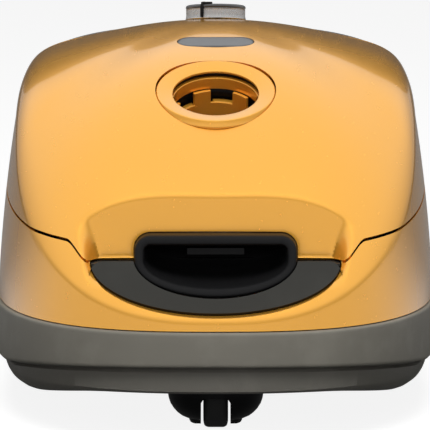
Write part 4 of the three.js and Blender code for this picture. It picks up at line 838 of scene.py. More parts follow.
def turn_room():
    """A turned body round the hinge line that holds the lid's rear edge at every angle."""
    sine, cosine = math.sin(math.radians(LID_TRAVEL)), math.cos(math.radians(LID_TRAVEL))
    profile = [(0.02, -TURN_HALF)]
    for x in np.linspace(-TURN_HALF, TURN_HALF, 33)[1:-1]:
        y = np.arange(LID_REAR_Y - 16, LID_REAR_Y + 0.01, 0.5)
        dy, dz = y - HINGE_Y, dome_height(np.full_like(y, x), y) - HINGE_Z
        turned_y, turned_z = dy * cosine + dz * sine, dz * cosine - dy * sine
        sinks = (turned_y > 0) & (turned_z < dome_height(np.full_like(y, x), HINGE_Y + turned_y) - HINGE_Z)
        sinks[-1] = True
        reach = np.where(sinks & (dz > 0), np.hypot(dy, dz), 0).max()
        profile.append((max(reach + TURN_GAP, 0.02), float(x)))
    profile.append((0.02, TURN_HALF))
    return cutter("turn_room", *capped_lathe(profile), placed(0, HINGE_Y, HINGE_Z, ry=90))


def build_cover():
    """The rear cover behind the lid, with its vents, the holes of the two pedals and the dial's seat."""
    settings, gap = bpy.context.scene.vacuum.shell, half_seam()

    def inside(line):
        y, z = line[:, 1], line[:, 2]
        return np.minimum(y - COVER_FRONT_Y + 1.5, z - tail_plane(y) - gap)

    turns = np.linspace(math.radians(70), math.radians(290), 300)
    points, faces = strips(inside, turns, 110, pull=False)[:2]
    piece = add_piece("fine_rear_cover", points, faces, "yellow_gloss", "chassis", ("rear_cover",))
    thicken(piece, settings.wall)
    tools = []
    vent = prism(pill(12.4, 2.6, 8, upright=True), -12, 12)
    for side in (-1, 1):
        hole = oval(side * PEDAL_X, PEDAL_Y, PEDAL_HALF_X + 0.9, PEDAL_HALF_Y + 0.9, 72)
        tools.append(cutter("pedal_hole", *prism(hole, 150, 260)))
        for x in VENT_X:
            height = dome_height(x, VENT_Y)
            tools.append(cutter("vent", *vent, placed(side * x, VENT_Y + 1.4, height, ry=side * x / 4)))
    carve(piece, *tools, flip(turn_room()))
    seat = [(12, -8), (18.3, -8), (18.3, -1.2), (17.9, -0.8), (12, -0.8)]
    add_solid("dial_seat", *lathe(seat), "yellow_gloss", "chassis", (), dial_place())
    finish_edges(piece, settings.edge)


def build_body():
    """The body shell under the lid, with a roof over each wheel and a seat for the front panel."""
    settings, gap, rows = bpy.context.scene.vacuum.shell, half_seam(), 64

    def inside(line):
        x, y, z = line.T
        return np.minimum(body_edge(x, y) - gap - z, z - np.maximum(RIM_Z + 0.35, arch_edge(y)))

    turns = shell_turns(turns_at([BAY_FRONT_Y - 0.02, BAY_FRONT_Y + 0.1,
                                  BAY_REAR_Y - 0.1, BAY_REAR_Y + 0.02]))
    points, faces, index, columns = strips(inside, turns, rows)
    roof = {}
    for i in index:
        x, y, z = columns[i][-1]
        if arch_edge(y) > RIM_Z + 0.3:
            roof[i] = len(points)
            points.append((math.copysign(WHEEL_IN_X - 4, x), y, z))
    for i in roof:
        j = (i + 1) % len(columns)
        if j in roof:
            faces.append((index[i] + rows - 1, roof[i], roof[j], index[j] + rows - 1))
    piece = add_piece("fine_body_shell", points, faces, "yellow_gloss", "chassis", ("body_shell",))
    thicken(piece, settings.wall)
    grille = rectangle(GRILLE_HALF, GRILLE_LOW_Z, GRILLE_TOP_Z)
    outlet = oval(OUTLET_X, OUTLET_Z, OUTLET_R, OUTLET_R, 40)
    panel = panel_arc(PANEL_ROOM) + [(0.0, PANEL_TOP_Z + 1.6)]
    carve(piece, cutter("grille_hole", *prism(grille, 190, 260, "Y")),
          cutter("outlet_hole", *prism(outlet, 190, 260, "Y")),
          cutter("panel_hole", *prism(panel, -260, -150, "Y")), pocket_hole())
    finish_edges(piece, settings.edge)
    build_panel_seat()


def build_panel_seat():
    """The lip that backs the body's edge round the front panel."""
    rows = []
    for (x, z), (wide_x, wide_z) in zip(panel_arc(0.4, 120), panel_arc(2.6, 120)):
        front = float(recess_pull(np.array([[x, front_face(x, z), z]]))[0, 1]) + 1.0
        back = max(panel_face(z) + 3.4, front + 0.6)
        rows.append([(x, front, z), (x, back, z), (wide_x, back, wide_z), (wide_x, front, wide_z)])
    points, faces = loft(rows)
    faces += [(0, 1, 2, 3), tuple(range(len(points) - 4, len(points)))[::-1]]
    seat = add_solid("panel_seat", points, faces, "yellow_gloss", "chassis")
    finish_edges(seat, 0.0004)


def panel_face(z):
    """The y of the front panel's face at a height."""
    return PANEL_TOP_Y + (PANEL_LOW_Y - PANEL_TOP_Y) * (PANEL_TOP_Z - z) / (PANEL_TOP_Z - PANEL_LOW_Z)


def panel_arc(grow, steps=72):
    """The panel's lower edge from left to right, moved out by grow; it ends level with the lid's edge."""
    points = [((PANEL_HALF + grow) * math.cos(turn), PANEL_TOP_Z + (PANEL_DEPTH + grow) * math.sin(turn))
              for turn in np.linspace(math.pi, FULL_TURN, steps + 1)]
    for end in (0, -1):
        points[end] = (points[end][0], points[end][1] + 0.9)
    return points


# ---- front panel and pocket ---------------------------------------------------------------------
def pocket_low(x):
    """Lower edge of the pocket's outline, grown by the panel's clearance."""
    share = math.sqrt(max(0.0, 1 - (x / (POCKET_HALF + PANEL_ROOM)) ** 2))
    return POCKET_WAIST_Z - (POCKET_WAIST_Z - POCKET_LOW_Z + PANEL_ROOM) * share


def pocket_hole(grow=0.6, back=-140):
    """The room of the pocket through the shells before it."""
    return cutter("pocket_hole", *prism(pocket_outline(grow), -260, back, "Y"))


def build_panel():
    """The dark crescent round the pocket's lower half, and the ledge behind its top."""
    half, top, corner = 74.4, PANEL_TOP_Z - 1.0, 7
    # Columns across the panel, finer where the pocket's outline meets its top edge.
    edges = np.concatenate([-half * np.cos(np.linspace(0, math.pi, 90)), np.linspace(-50.5, -46, 16),
                            np.linspace(46, 50.5, 16), [-48.9, -48.7, 48.7, 48.9]])
    rows = []
    for x in np.unique(np.round(edges, 3)):
        high = top
        if abs(x) > half - corner:
            high = top - corner + math.sqrt(max(0, corner ** 2 - (abs(x) - half + corner) ** 2))
        if abs(x) < POCKET_HALF + PANEL_ROOM:
            high = min(high, pocket_low(x))
        low = PANEL_TOP_Z - 28.5 * math.sqrt(max(0, 1 - (x / 74.45) ** 2))
        row = []
        for z in np.linspace(high, min(low, high - 0.05), 14):
            bow = 0.9 * math.sin(math.pi * min(1, (PANEL_TOP_Z - z) / (PANEL_TOP_Z - PANEL_LOW_Z)))
            row.append((x, panel_face(z) - bow, z))
        rows.append(row)
    points = [point for row in rows for point in row]
    faces = [face[::-1] for face in grid(rows)]
    piece = add_piece("fine_front_panel", points, faces, "dark_panel", "chassis", ("front_panel",))
    thicken(piece, 0.0026)
    ledge = box_points(-74, 74, -191.6, -177.6, 102.4, 104.1)
    shelf = add_piece("panel_ledge", *ledge, "dark_panel", "chassis")
    carve(shelf, pocket_hole(PANEL_ROOM, -100))
    finish_edges(shelf, 0.0004)
    finish_edges(piece, 0.0006, 40, 3)


def pocket_outline(grow, low_steps=48, corner_steps=12):
    """The pocket's outline: half an ellipse below, rounded corners above."""
    half, top = POCKET_HALF + grow, POCKET_TOP_Z + grow
    corner = max(0.6, POCKET_CORNER + grow)
    depth = max(0.6, POCKET_WAIST_Z - POCKET_LOW_Z + grow)
    points = [(half * math.cos(turn), POCKET_WAIST_Z + depth * math.sin(turn))
              for turn in np.linspace(math.pi, FULL_TURN, low_steps + 1)]
    for side, start in ((1, 0), (-1, math.pi / 2)):
        for turn in np.linspace(start, start + math.pi / 2, corner_steps + 1):
            points.append((side * (half - corner) + corner * math.cos(turn),
                           top - corner + corner * math.sin(turn)))
    return points


def build_pocket():
    """The black carrying pocket: a rounded rim and a cup that curves up to its back."""
    # How far each ring is grown, and its share of the way from the face to the back.
    section = ((0, 0.72), (0, 0.07), (-0.3, 0.03), (-1.1, 0.006), (-2.2, 0), (-3.6, 0.002),
               (-4.9, 0.012), (-5.7, 0.04), (-6.3, 0.1), (-7.0, 0.22), (-7.9, 0.4), (-9.2, 0.58),
               (-11.2, 0.72), (-13.8, 0.82), (-17, 0.88))
    rows = []
    for grow, depth in section:
        row = []
        for x, z in pocket_outline(grow):
            face = POCKET_FACE_Y + (z - POCKET_TOP_Z) * POCKET_LEAN
            row.append((x, face + (POCKET_BACK_Y - face) * depth, z))
        rows.append(row)
    add_piece("fine_pocket", *loft(rows, last=True), "black", "chassis", ("carrying_pocket",))


# ---- hose port ----------------------------------------------------------------------------------
def build_port():
    """The port's flared ring with its seal, and the socket in it with its latch windows and tongues."""
    place = port_place()
    ring = rounded([(PORT_BORE_R, -1.9), (36.2, 0), (38.1, -3.5), (38.1, -9.5), (33.4, -12),
                    (31.2, -12), (31.2, -22), (PORT_BORE_R + 3.4, -22), (PORT_BORE_R + 3.4, -4.6),
                    (PORT_BORE_R, -3.4)], 0.6)
    add_solid("fine_port_ring", *lathe(ring, 160), "yellow_gloss", "lid", ("port_ring",), place)
    collar = rounded([(26.0, -6.6), (29.6, -6.6), (29.6, -14.3), (26.0, -14.3)], 0.5)
    add_solid("port_collar", *lathe(collar, 128), "yellow_gloss", "lid", (), place)
    # The seal is a real black gasket. The black band behind the latch windows is painted shade: a dark sheet
    # standing in for the shadow inside the socket.
    for name, low, high in (("port_seal", -6.5, -3.8), ("port_backing", -24.5, -14.5)):
        band = [(28.5, low), (29.5, low), (29.5, high), (28.5, high)]
        add_solid(name, *lathe(band, 128), "black", "lid", (), place)
    steps, rows = 96, 12
    latch_gap, latch_width = 60, 33  # in degrees
    points, faces = loft(rings([(25.6, -14.3 - r * 33 / rows) for r in range(rows + 1)], steps))
    open_columns = [(c / steps * 360 - 2.5) % latch_gap < latch_width for c in range(steps)]
    faces = [face for k, face in enumerate(faces) if k >= 3 * steps or not open_columns[k % steps]]
    sleeve = add_piece("fine_port_socket", points, faces, "yellow_gloss", "lid", ("port_socket",), place)
    thicken(sleeve, 0.0022, 1.0)
    finish_edges(sleeve, 0.0004)
    tongue = rounded([(23.9, -22.3), (27.2, -22.3), (27.2, -23.2), (23.9, -23.2)], 0.3)
    points, faces = lathe(tongue)
    keep = [abs(math.degrees(math.atan2(y, x))) < latch_width / 2 - 0.5 for x, y, _z in points]
    faces = [face for face in faces if all(keep[k] for k in face)]
    for turn in range(19, 379, latch_gap):
        part = add_piece(f"latch_tongue_{turn}", points, faces, "yellow_gloss", "lid", (),
                         place @ placed(rz=turn))
        thicken(part, 0.0003, 0.0)


# ---- top controls -------------------------------------------------------------------------------
def dial_place(turn=0.0):
    return placed(0, DIAL_Y, DIAL_Z, rx=DIAL_LEAN) @ placed(rz=turn)


def build_dial():
    """Knurled metal ring, black cap with a dished top, and the raised pointer, square to the dome."""
    settings = bpy.context.scene.vacuum.dial
    cells, depth = settings.knurls, settings.depth * 1000
    steps, rows, pitch = cells * 6, 34, 1.5
    turns = around(steps)

    def loop(radius, z):
        return np.stack([radius * np.cos(turns), radius * np.sin(turns), np.full(steps, z)], axis=1)

    loops = [loop(19.2, 0.0)]
    for r in range(rows + 1):
        z = 0.5 + r / rows * (DIAL_RING_H - 0.9)
        lean = DIAL_R - 0.1 - 0.35 * float(smoothstep(z, 0.5, 3.0))
        u, v = turns * cells / FULL_TURN, z / pitch
        a, b = np.abs((u + v) % 1 - 0.5), np.abs((u - v) % 1 - 0.5)
        edge = float(smoothstep(z, 0.5, 1.1) * smoothstep(-z, -DIAL_RING_H + 0.4, -DIAL_RING_H + 1.0))
        loops.append(loop(lean - depth * (1 - np.minimum(a, b) * 2) * edge, z))
    loops.append(loop(18.4, DIAL_RING_H))
    add_piece("fine_dial_ring", np.vstack(loops), grid(loops, closed=True), "satin_metal", "dial",
              ("dial_ring",), dial_place())
    low, top = DIAL_RING_H, DIAL_RING_H + 2.5
    profile = [(18.4, low - 0.5), (19.5, low + 0.05), (19.75, low + 0.4), (19.8, low + 1.1),
               (19.6, low + 1.7), (19.1, top - 0.35), (18.4, top - 0.1), (17.4, top),
               (16.2, top - 0.1), (14.8, top - 0.5), (13.2, top - 0.9), (6, top - 1.1),
               (0.4, top - 1.15)]
    add_solid("fine_dial_cap", *capped_lathe(profile, 128), "cap_gloss", "dial", ("dial_cap",), dial_place())
    section = [(-1.1, -0.9), (-0.95, 0.7), (-0.5, 1.15), (0.5, 1.15), (0.95, 0.7), (1.1, -0.9)]
    path = [(-4.0, top - 1.2), (-10, top - 0.6), (-16.6, top + 0.4), (-18.9, top + 0.2), (-20.0, top - 1.2),
            (-20.3, top - 3.4), (-20.3, 0.9)]
    rows = []
    for i, (y, z) in enumerate(path):
        before, after = path[max(0, i - 1)], path[min(len(path) - 1, i + 1)]
        along = Vector((0, after[0] - before[0], after[1] - before[1])).normalized()
        up = along.cross(Vector((1, 0, 0)))
        rows.append([(u, y + up.y * v * 0.5, z + up.z * v) for u, v in section])
    place = dial_place(POINTER_TURN)
    rib = add_solid("dial_pointer", *loft(rows, True, True), "black", "dial", (), place)
    modify(rib, "BEVEL", width=0.0003, segments=2, limit_method="ANGLE")
    flag = [(-0.9, -19.8), (0.9, -19.8), (6.6, -17.4), (0.9, -13.8), (-0.9, -13.8)]
    mark = add_piece("dial_pointer_flag", *prism(flag, top - 0.4, top + 1.2), "black", "dial", (), place)
    finish_edges(mark, 0.0004)


def build_pedals():
    """The two foot pads, which follow the dome a little proud of it."""
    # Share of the pad's half sizes, and how far each ring is under its swell, from below.
    section = [(1.0, -3.8), (1.0, -0.8), (0.98, -0.25), (0.94, -0.05), (0.85, 0), (0.7, 0), (0.5, 0),
               (0.25, 0), (0.02, 0)]
    for name, side in (("left", -1), ("right", 1)):
        rows = []
        for share, drop in section:
            ring = oval(PEDAL_X, PEDAL_Y, PEDAL_HALF_X * share, PEDAL_HALF_Y * share, 64)[::side]
            lift = PEDAL_PROUD * (1 - share * share) + drop
            rows.append([(side * x, y, float(dome_height(x, y)) + lift) for x, y in ring])
        body = f"pedal_{name}"
        add_solid(f"fine_{body}", *loft(rows, True, True), "grey_blue", body, (f"foot_{body}",))
        stem = capped_lathe([(3.4, 191), (3.4, 212)], 32)
        add_piece(f"pedal_stem_{name}", *stem, "grey_blue", body, (), placed(side * PEDAL_X, PEDAL_Y))


def draped(points, lift):
    """Flat (x, y) points, lifted over the dome."""
    return [(x, y, dome_height(x, y) + lift) for x, y in points]


def build_window():
    """The filter indicator's window in the lid, with its two generic bracket marks."""
    section = ((1.0, -1.6), (1.0, -0.25), (0.985, 0.05), (0.95, 0.16), (0.8, 0.18), (0.5, 0.2), (0.1, 0.2))
    rows = []
    for share, lift in section:
        inset = (1 - share) * WINDOW_WIDTH
        shape = pill(WINDOW_LENGTH - inset, WINDOW_WIDTH - inset, 20)
        rows.append(draped([(x, y + WINDOW_Y) for x, y in shape], lift))
    add_solid("fine_indicator_window", *loft(rows, last=True), "window", "lid", ("indicator_window",))
    bracket = [(7.4, -4.64), (4.6, -4.64), (4.6, -3.52), (6.6, -3.52),
               (6.6, 3.52), (4.6, 3.52), (4.6, 4.64), (7.4, 4.64)]
    for name, side in (("left", -1), ("right", 1)):
        flat = [(side * x, y + WINDOW_Y) for x, y in bracket[::side]]
        rows = [draped(flat, 0.15), draped(flat, 0.24)]
        mark = add_piece(f"bracket_mark_{name}", *loft(rows, True, True), "marks", "lid")
        mark.data.polygons.foreach_set("use_smooth", [False] * len(mark.data.polygons))


# ---- lower shell, bumpers, wheels ---------------------------------------------------------------
def bumper_low(y):
    """Lower edge of the bumper, which rises towards the nose."""
    share = max(0.0, (BUMPER_RISE_Y - y) / (HALF_LENGTH + BUMPER_RISE_Y))
    return BUMPER_LOW_Z + share * BUMPER_RISE


def build_bumpers():
    """The soft bumper in two stretches, before and behind the rear wheels."""
    turns = np.linspace(0, math.pi, 4000)
    ends = (BAY_FRONT_Y - 0.3, BAY_REAR_Y + 0.3)
    front, rear = (float(v) for v in np.interp(ends, outline(turns)[1], turns))
    # How far out each point is, its share of the way from the lower edge to the rim, and its rise.
    section = [(1.0, 0, 0.0), (1.9, 0, 0.35), (2.3, 0, 1.1), (2.4, 0, 2.4), (2.4, 0.33, 0),
               (2.4, 0.66, 0), (2.4, 1, -2.6), (2.3, 1, -1.5), (1.9, 1, -0.75), (1.2, 1, -0.4),
               (0.4, 1, -0.32), (-2.2, 1, -0.32), (-2.2, 0, 0.4)]
    for name, stretch in (("front", np.linspace(-front, front, 220)),
                          ("rear", np.linspace(rear, FULL_TURN - rear, 160))):
        rows = []
        for turn in stretch:
            x, y = (float(v) for v in outline(turn))
            low = bumper_low(y)
            rows.append([(x * (1 + out / HALF_WIDTH), y * (1 + (out - 0.5) / HALF_LENGTH),
                          low + (RIM_Z - low) * share + rise) for out, share, rise in section])
        piece = add_solid(f"fine_bumper_{name}", *loft(rows, True, True), "bumper", "chassis",
                          (f"bumper_{name}",))
        if name == "rear":
            room = prism(rectangle(PARK_HALF, 0, PARK_TOP_Z), 150, 300, "Y")
            carve(piece, cutter("park_room", *room))
        finish_edges(piece, 0.0003, 40)


def build_lower():
    """The lower shell: a tub with a soft chamfer, a facet under the nose and the wheel bays."""
    wall = 2.4  # The rows below are this far inside the outer face.
    turns = shell_turns(turns_at([BAY_FRONT_Y - 0.3, BAY_FRONT_Y, BAY_REAR_Y, BAY_REAR_Y + 0.3]))

    def ring(inset, height):
        """A row round the shell, kept out of the wheel bays; height gives its z from its y."""
        row = []
        for turn in turns:
            x, y = (float(v) for v in outline(turn, inset))
            z = height(y)
            if abs(y - WHEEL_Y) < WHEEL_ROOM + 0.05:
                x = math.copysign(min(abs(x), WHEEL_IN_X - 4.4 - wall), x)
            row.append((x, y, z))
        return row

    rows = [ring(2.7 + wall, lambda y: 68.2)]
    # The groove under the bumper: rise over the bumper's lower edge, and inset.
    for above, inset in ((1.2, 2.7), (0.6, 4.6), (-2.9, 4.7), (-3.4, 3.6), (-3.9, 3.0)):
        rows.append(ring(inset + wall, lambda y: bumper_low(y) + above))
    # The chamfer and the floor: height, inset, rise under the nose, and how far it faces down.
    chamfer = ((30.6, 3.4, 3.0, 0.1), (28, 4.1, 5.0, 0.2), (25.8, 4.9, 6.8, 0.35), (24, 5.9, 8.1, 0.5),
               (22.6, 7.6, 9.1, 0.7), (21.6, 9.8, 9.6, 0.85), (21.1, 12.6, 9.8, 1), (21, 16, 9.8, 1),
               (21.1, 19, 9.7, 1), (21.9, 22, 9.0, 1), (23.6, 26, 7.2, 1), (25.4, 31, 5.3, 1),
               (26, 35, 4.8, 1))
    for level, inset, rise, down in chamfer:
        rows.append(ring(inset + wall * math.sqrt(1 - down * down),
                         lambda y: level + wall * down + rise * float(smoothstep(-y, 135, 225))))
    floor, middle_z = rows[-1], 28.4
    for share in (0.85, 0.6, 0.3):
        rows.append([(x * share, y * share, middle_z + (z - middle_z) * share) for x, y, z in floor])
    piece = add_piece("fine_lower_shell", *loft(rows, last=True), "warm_grey", "chassis", ("lower_shell",))
    thicken(piece, wall * 0.001)
    tools = [cutter("castor_hole", *prism(oval(0, CASTOR_Y, WELL_R, WELL_R, 72), -5, 46)),
             cutter("park_hole", *prism(rectangle(PARK_HALF, 37.6, PARK_TOP_Z), 200, 300, "Y")),
             cutter("park_slot", *prism(rectangle(10, 20, 60), 215, 300, "Y"))]
    for x, y in ((-92, -120), (92, -120), (-70, 160), (70, 160)):
        tools.append(cutter("screw_hole", *prism(oval(x, y, 4.6, 4.6, 32), 20, 29.5)))
    carve(piece, *tools)
    finish_edges(piece, 0.0005)
    well = rounded([(31.9, 27), (33.6, 27), (33.6, 47), (0.6, 47), (0.6, 45.4), (31.9, 45.4)], 0.6)
    add_solid("castor_well", *lathe(well), "warm_grey", "chassis", (), placed(0, CASTOR_Y))


def build_wheels():
    """Rear wheels: spoked hub with a dished face, ribbed tyre, and a cap."""
    width = WHEEL_WIDTH
    hub = rounded([(4.4, 0), (14, 0), (14, 8), (35, 8), (35, 0), (40.6, 0), (40.6, width - 1), (38, width),
                   (35.6, width - 4.6), (17, width - 5.2), (15.6, width - 6.4), (15.6, width - 8),
                   (4.4, width - 8)], 0.8)
    cap = [(15.2, width - 6.8), (15.2, width - 3.2), (14.4, width - 2.0), (12.4, width - 0.9),
           (9, width - 0.1), (4, width + 0.4), (0.3, width + 0.5)]
    tyre, faces = lathe(rounded([(41, 2), (44.4, 2), (46, 4.6), (46, width - 4.6), (44.4, width - 2),
                                 (41, width - 2)], 1.2), 240)
    tyre = np.asarray(tyre)
    radius, turn = np.hypot(tyre[:, 0], tyre[:, 1]), np.arctan2(tyre[:, 1], tyre[:, 0])
    rib = 0.35 * smoothstep(radius, 44.6, 45.8) * (np.cos(turn * 60) < -0.2)
    tyre[:, :2] *= ((radius - rib) / radius)[:, None]
    spokes = [oval(26 * math.cos(turn), 26 * math.sin(turn), 4.6, 4.6, 32)
              for turn in np.radians(np.arange(18, 378, 72))]
    for name, side in (("left", -1), ("right", 1)):
        place = placed(side * WHEEL_IN_X, WHEEL_Y, WHEEL_R, ry=90, rz=0 if side > 0 else 180)
        body = f"wheel_{name}"
        piece = add_solid(f"fine_wheel_{name}", *lathe(hub, 120), "warm_grey", body,
                          (f"rear_wheel_{name}",), place)
        carve(piece, *[cutter("spoke_hole", *prism(hole, 2, 30), place) for hole in spokes])
        finish_edges(piece, 0.0004)
        add_solid(f"fine_tyre_{name}", tyre, faces, "rubber", body, (f"rear_tyre_{name}",), place)
        add_solid(f"fine_hub_cap_{name}", *capped_lathe(cap), "dark_panel", body,
                  (f"hub_cap_{name}",), place)


def build_castor():
    """The castor's half-dome fork, stepped at its foot, and its wheel."""
    dome = [(0.5, 43.6), (18, 43.8), (24, 43.2), (27, 41.4), (28.6, 38.4), (29, 34), (29, 26),
            (28.9, 22.4), (28.3, 19), (27.3, 16), (25.4, 13), (23.2, 10.6), (21, 8.9), (18.6, 7.8),
            (16.9, 7.3), (16.2, 6.9), (15.9, 5.6), (15.3, 4.5), (0.5, 4.3)]
    place, room = placed(0, CASTOR_Y), CASTOR_WHEEL_R + 2.6
    fork = add_solid("fine_castor_fork", *capped_lathe(dome, 120), "black", "castor", ("castor_fork",), place)
    side = [(CASTOR_WHEEL_TRAIL + room * math.cos(turn), CASTOR_WHEEL_R + room * math.sin(turn))
            for turn in np.linspace(0, math.pi, 40)] + [(-14.6, -2), (26.6, -2)]
    slot = [(-8.9, -2), (8.9, -2), (8.9, 19.6), (7.4, 22.0), (4.4, 22.7), (-4.4, 22.7), (-7.4, 22.0),
            (-8.9, 19.6)]
    tools = [cutter("wheel_room", *prism(side, -8.9, 8.9, "X"), place),
             cutter("wheel_slot", *prism(slot, -40, 5, "Y"), place)]
    for ends in ((-40, -9), (9, 40)):
        tools.append(cutter("foot_step", *box_points(-40, 40, *ends, -1, 7.2), place))
    carve(fork, *tools)
    finish_edges(fork, 0.0005)
    add_solid("castor_stem", *capped_lathe([(7, 43), (7, 62)], 48), "black", "castor", (), place)
    wheel = rounded([(1.8, -7.5), (14, -7.5), (16.9, -6.9), (18, -5), (18, 5), (16.9, 6.9),
                     (14, 7.5), (1.8, 7.5)], 0.9)
    add_solid("fine_castor_wheel", *lathe(wheel), "rubber", "castor_wheel", ("castor_wheel",),
              placed(0, CASTOR_Y + CASTOR_WHEEL_TRAIL, CASTOR_WHEEL_R, ry=90))


# ---- dust bag -----------------------------------------------------------------------------------
def bag_outline(turn, power=2.8):
    """Point of the bag's plan outline, from its middle, for half sizes of 1."""
    s, c = math.sin(turn), math.cos(turn)
    reach = (abs(s) ** power + abs(c) ** power) ** (-1 / power)
    return reach * s, reach * c


def build_bag():
    """A filled fleece bag: swollen sides, soft folds and a welded seam round its middle."""
    noise.seed_set(7)
    ring = [bag_outline(turn) for turn in around(120)]
    port, tilt = Vector((0, PORT_Y, PORT_Z)), math.radians(PORT_TILT)
    axis = Vector((0, -math.sin(tilt), math.cos(tilt)))
    rows = []
    for v in np.linspace(0, 1, 47):
        z = BAG_LOW_Z + (BAG_TOP_Z - BAG_LOW_Z) * v
        share = max(0.02, 1 - abs(2 * v - 1) ** 3.4) ** 0.42
        pinch = 1.6 * math.exp(-((z - BAG_SEAM_Z) / 5) ** 2)
        row = []
        for s, c in ring:
            x, y = BAG_HALF_X * share * s, BAG_HALF_Y * share * c
            fold = noise.fractal(Vector((x * 0.02, y * 0.03, z * 0.028)), 0.8, 2.2, 4) * 2.2
            size = 1 + (fold - pinch) / 60
            point = Vector((x * size, BAG_Y + y * size, z))
            row.append(tuple(point - axis * max(0.0, (point - port).dot(axis) - BAG_LIMIT)))
        rows.append(row)
    add_solid("fine_dust_bag", *loft(rows, True, True), "fleece", "chassis", ("dust_bag",))
    rows = []
    for out, rise in ((-4, -0.35), (1.2, -0.35), (1.2, 0.35), (-4, 0.35), (-4, -0.35)):
        rows.append([((BAG_HALF_X + out) * x, BAG_Y + (BAG_HALF_Y + 0.4 + out) * y,
                      BAG_SEAM_Z + rise + 0.5 * math.sin(12 * math.atan2(y, x))) for x, y in ring])
    add_solid("dust_bag_seam", *loft(rows), "fleece", "chassis")


# ---- finishes of the carried-over nodes, and the studio -----------------------------------------
def dress_nodes():
    """Gives every CAD node the finish of its slot."""
    slots = {part["node"]: part["material_slot"] for part in frame["record"]["subparts"]}
    known = recipes()
    for name, node in frame["nodes"].items():
        for held in node.material_slots:
            slot = slots.get(name) or (held.material.name if held.material else "").split(".")[0]
            if slot in known:
                held.material = material(slot)


def build_camera(settings):
    """A camera at the photograph's place."""
    camera = bpy.data.cameras.new("camera")
    camera.lens, camera.sensor_width, camera.shift_x = settings.lens, 36.0, settings.shift
    camera.clip_end = 60.0
    viewer = bpy.data.objects.new("camera", camera)
    viewer.location = (0, -settings.distance, settings.height)
    viewer.rotation_euler = (math.pi / 2 - settings.pitch, 0, 0)
    bpy.context.scene.collection.objects.link(viewer)
    bpy.context.scene.camera = viewer


def build_floor():
    """A floor that is white to the camera, dim to diffuse light, and in the gloss a painted reflection:
    bright before and beside the body, dim behind it, with a painted shadow round the body.
    """
    mesh = bpy.data.meshes.new("floor")
    mesh.from_pydata([(-9, -9, 0), (9, -9, 0), (9, 9, 0), (-9, 9, 0)], [], [(0, 1, 2, 3)])
    floor = bpy.data.objects.new("floor", mesh)
    bpy.context.scene.collection.objects.link(floor)
    paint = bpy.data.materials.new("floor_paint")
    paint.use_nodes = True
    tree = Tree(paint.node_tree)
    seen = tree.add("ShaderNodeLightPath").outputs["Is Camera Ray"]
    lit = tree.add("ShaderNodeBsdfDiffuse", None, (0.3, 0.3, 0.3, 1))
    glow = tree.add("ShaderNodeEmission", None, (1, 1, 1, 1), 0.88)
    both = tree.add("ShaderNodeAddShader", None, lit.outputs[0], glow.outputs[0])
    dim = tree.add("ShaderNodeBsdfDiffuse", None, (0.12, 0.12, 0.12, 1))
    place = tree.add("ShaderNodeSeparateXYZ", None, tree.add("ShaderNodeTexCoord").outputs["Object"])
    across, along = Field(tree, place.outputs[0]), Field(tree, place.outputs[1])
    # Painted reflection: to glossy rays the floor glows, bright before and beside the body and dim behind it.
    # The mask below darkens that glow round the body as a painted shadow.
    before = (along / (abs(across) + 0.3)).ramp(1.0, 0.1) * 0.75 + 0.25
    painted_floor_shadow = abs(across).ramp(0.45, 0.2) * abs(along).ramp(0.6, 0.3)
    dark = tree.add("ShaderNodeEmission", None, (1, 1, 1, 1), 0.0)
    bright = tree.add("ShaderNodeEmission", None, (1, 1, 1, 1), 1.05)
    sheen = tree.add("ShaderNodeMixShader", None, before * (1 - painted_floor_shadow * 0.9),
                     dark.outputs[0], bright.outputs[0])
    shiny = Field(tree, tree.add("ShaderNodeLightPath").outputs["Is Glossy Ray"])
    other = tree.add("ShaderNodeMixShader", None, shiny, dim.outputs[0], sheen.outputs[0])
    mixed = tree.add("ShaderNodeMixShader", None, seen, other.outputs[0], both.outputs[0])
    tree.add("ShaderNodeOutputMaterial", None, mixed.outputs[0])
    mesh.materials.append(paint)


def build_world():
    """A white world that shows a softbox overhead and a bright horizon before the nose in the gloss."""
    world = bpy.data.worlds.new("studio")
    world.use_nodes = True
    bpy.context.scene.world = world
    tree = Tree(world.node_tree)
    split = tree.add("ShaderNodeSeparateXYZ", None, tree.add("ShaderNodeTexCoord").outputs["Generated"])
    x, y, z = (Field(tree, socket) for socket in split.outputs)
    height = z.math("MAXIMUM", z, 0.02)
    aside = abs(x) / height
    bulge = aside.math("EXPONENT", 0 - (aside / 0.31) ** 2.6)
    rear_edge = bulge * 0.9 + aside * aside * 0.76 + 0.985
    softbox = (rear_edge - y / height).ramp(-0.06, 0.06) * z.ramp(0.03, 0.1)
    horizon = z.ramp(0.14, 0.04) * y.ramp(0.85, 0.1)
    glossy = softbox * (z.ramp(0.12, 0.62) * 0.7 + 0.5) + (1 - softbox) * 0.08
    glossy = glossy.math("MAXIMUM", glossy, horizon * 1.1)
    path = tree.add("ShaderNodeLightPath")
    camera_ray, glossy_ray = (Field(tree, path.outputs[name]) for name in ("Is Camera Ray", "Is Glossy Ray"))
    level = glossy_ray * glossy + (1 - glossy_ray) * 0.06
    level = camera_ray + (1 - camera_ray) * level
    background = tree.add("ShaderNodeBackground", None, (1, 1, 1, 1), level)
    tree.add("ShaderNodeOutputWorld", None, background.outputs[0])


def build_studio():
    """The camera, the floor, the world and two large lamps that the gloss doesn't show."""
    settings = bpy.context.scene.vacuum.studio
    build_camera(settings)
    build_floor()
    build_world()
    for name, place, aim, power in (("key", (0.0, -1.5, 2.6), (0, -0.05, 0.1), settings.key),
                                    ("fill", (0.0, -3.2, 1.0), (0, 0, 0.12), settings.fill)):
        lamp = bpy.data.lights.new(name, "AREA")
        lamp.shape, lamp.size, lamp.energy = "SQUARE", 1.6, power
        holder = bpy.data.objects.new(name, lamp)
        holder.location = place
        holder.rotation_euler = (Vector(aim) - Vector(place)).to_track_quat("-Z", "Y").to_euler()
        holder.visible_glossy = False
        bpy.context.scene.collection.objects.link(holder)
    bpy.context.scene.view_settings.view_transform = "Standard"


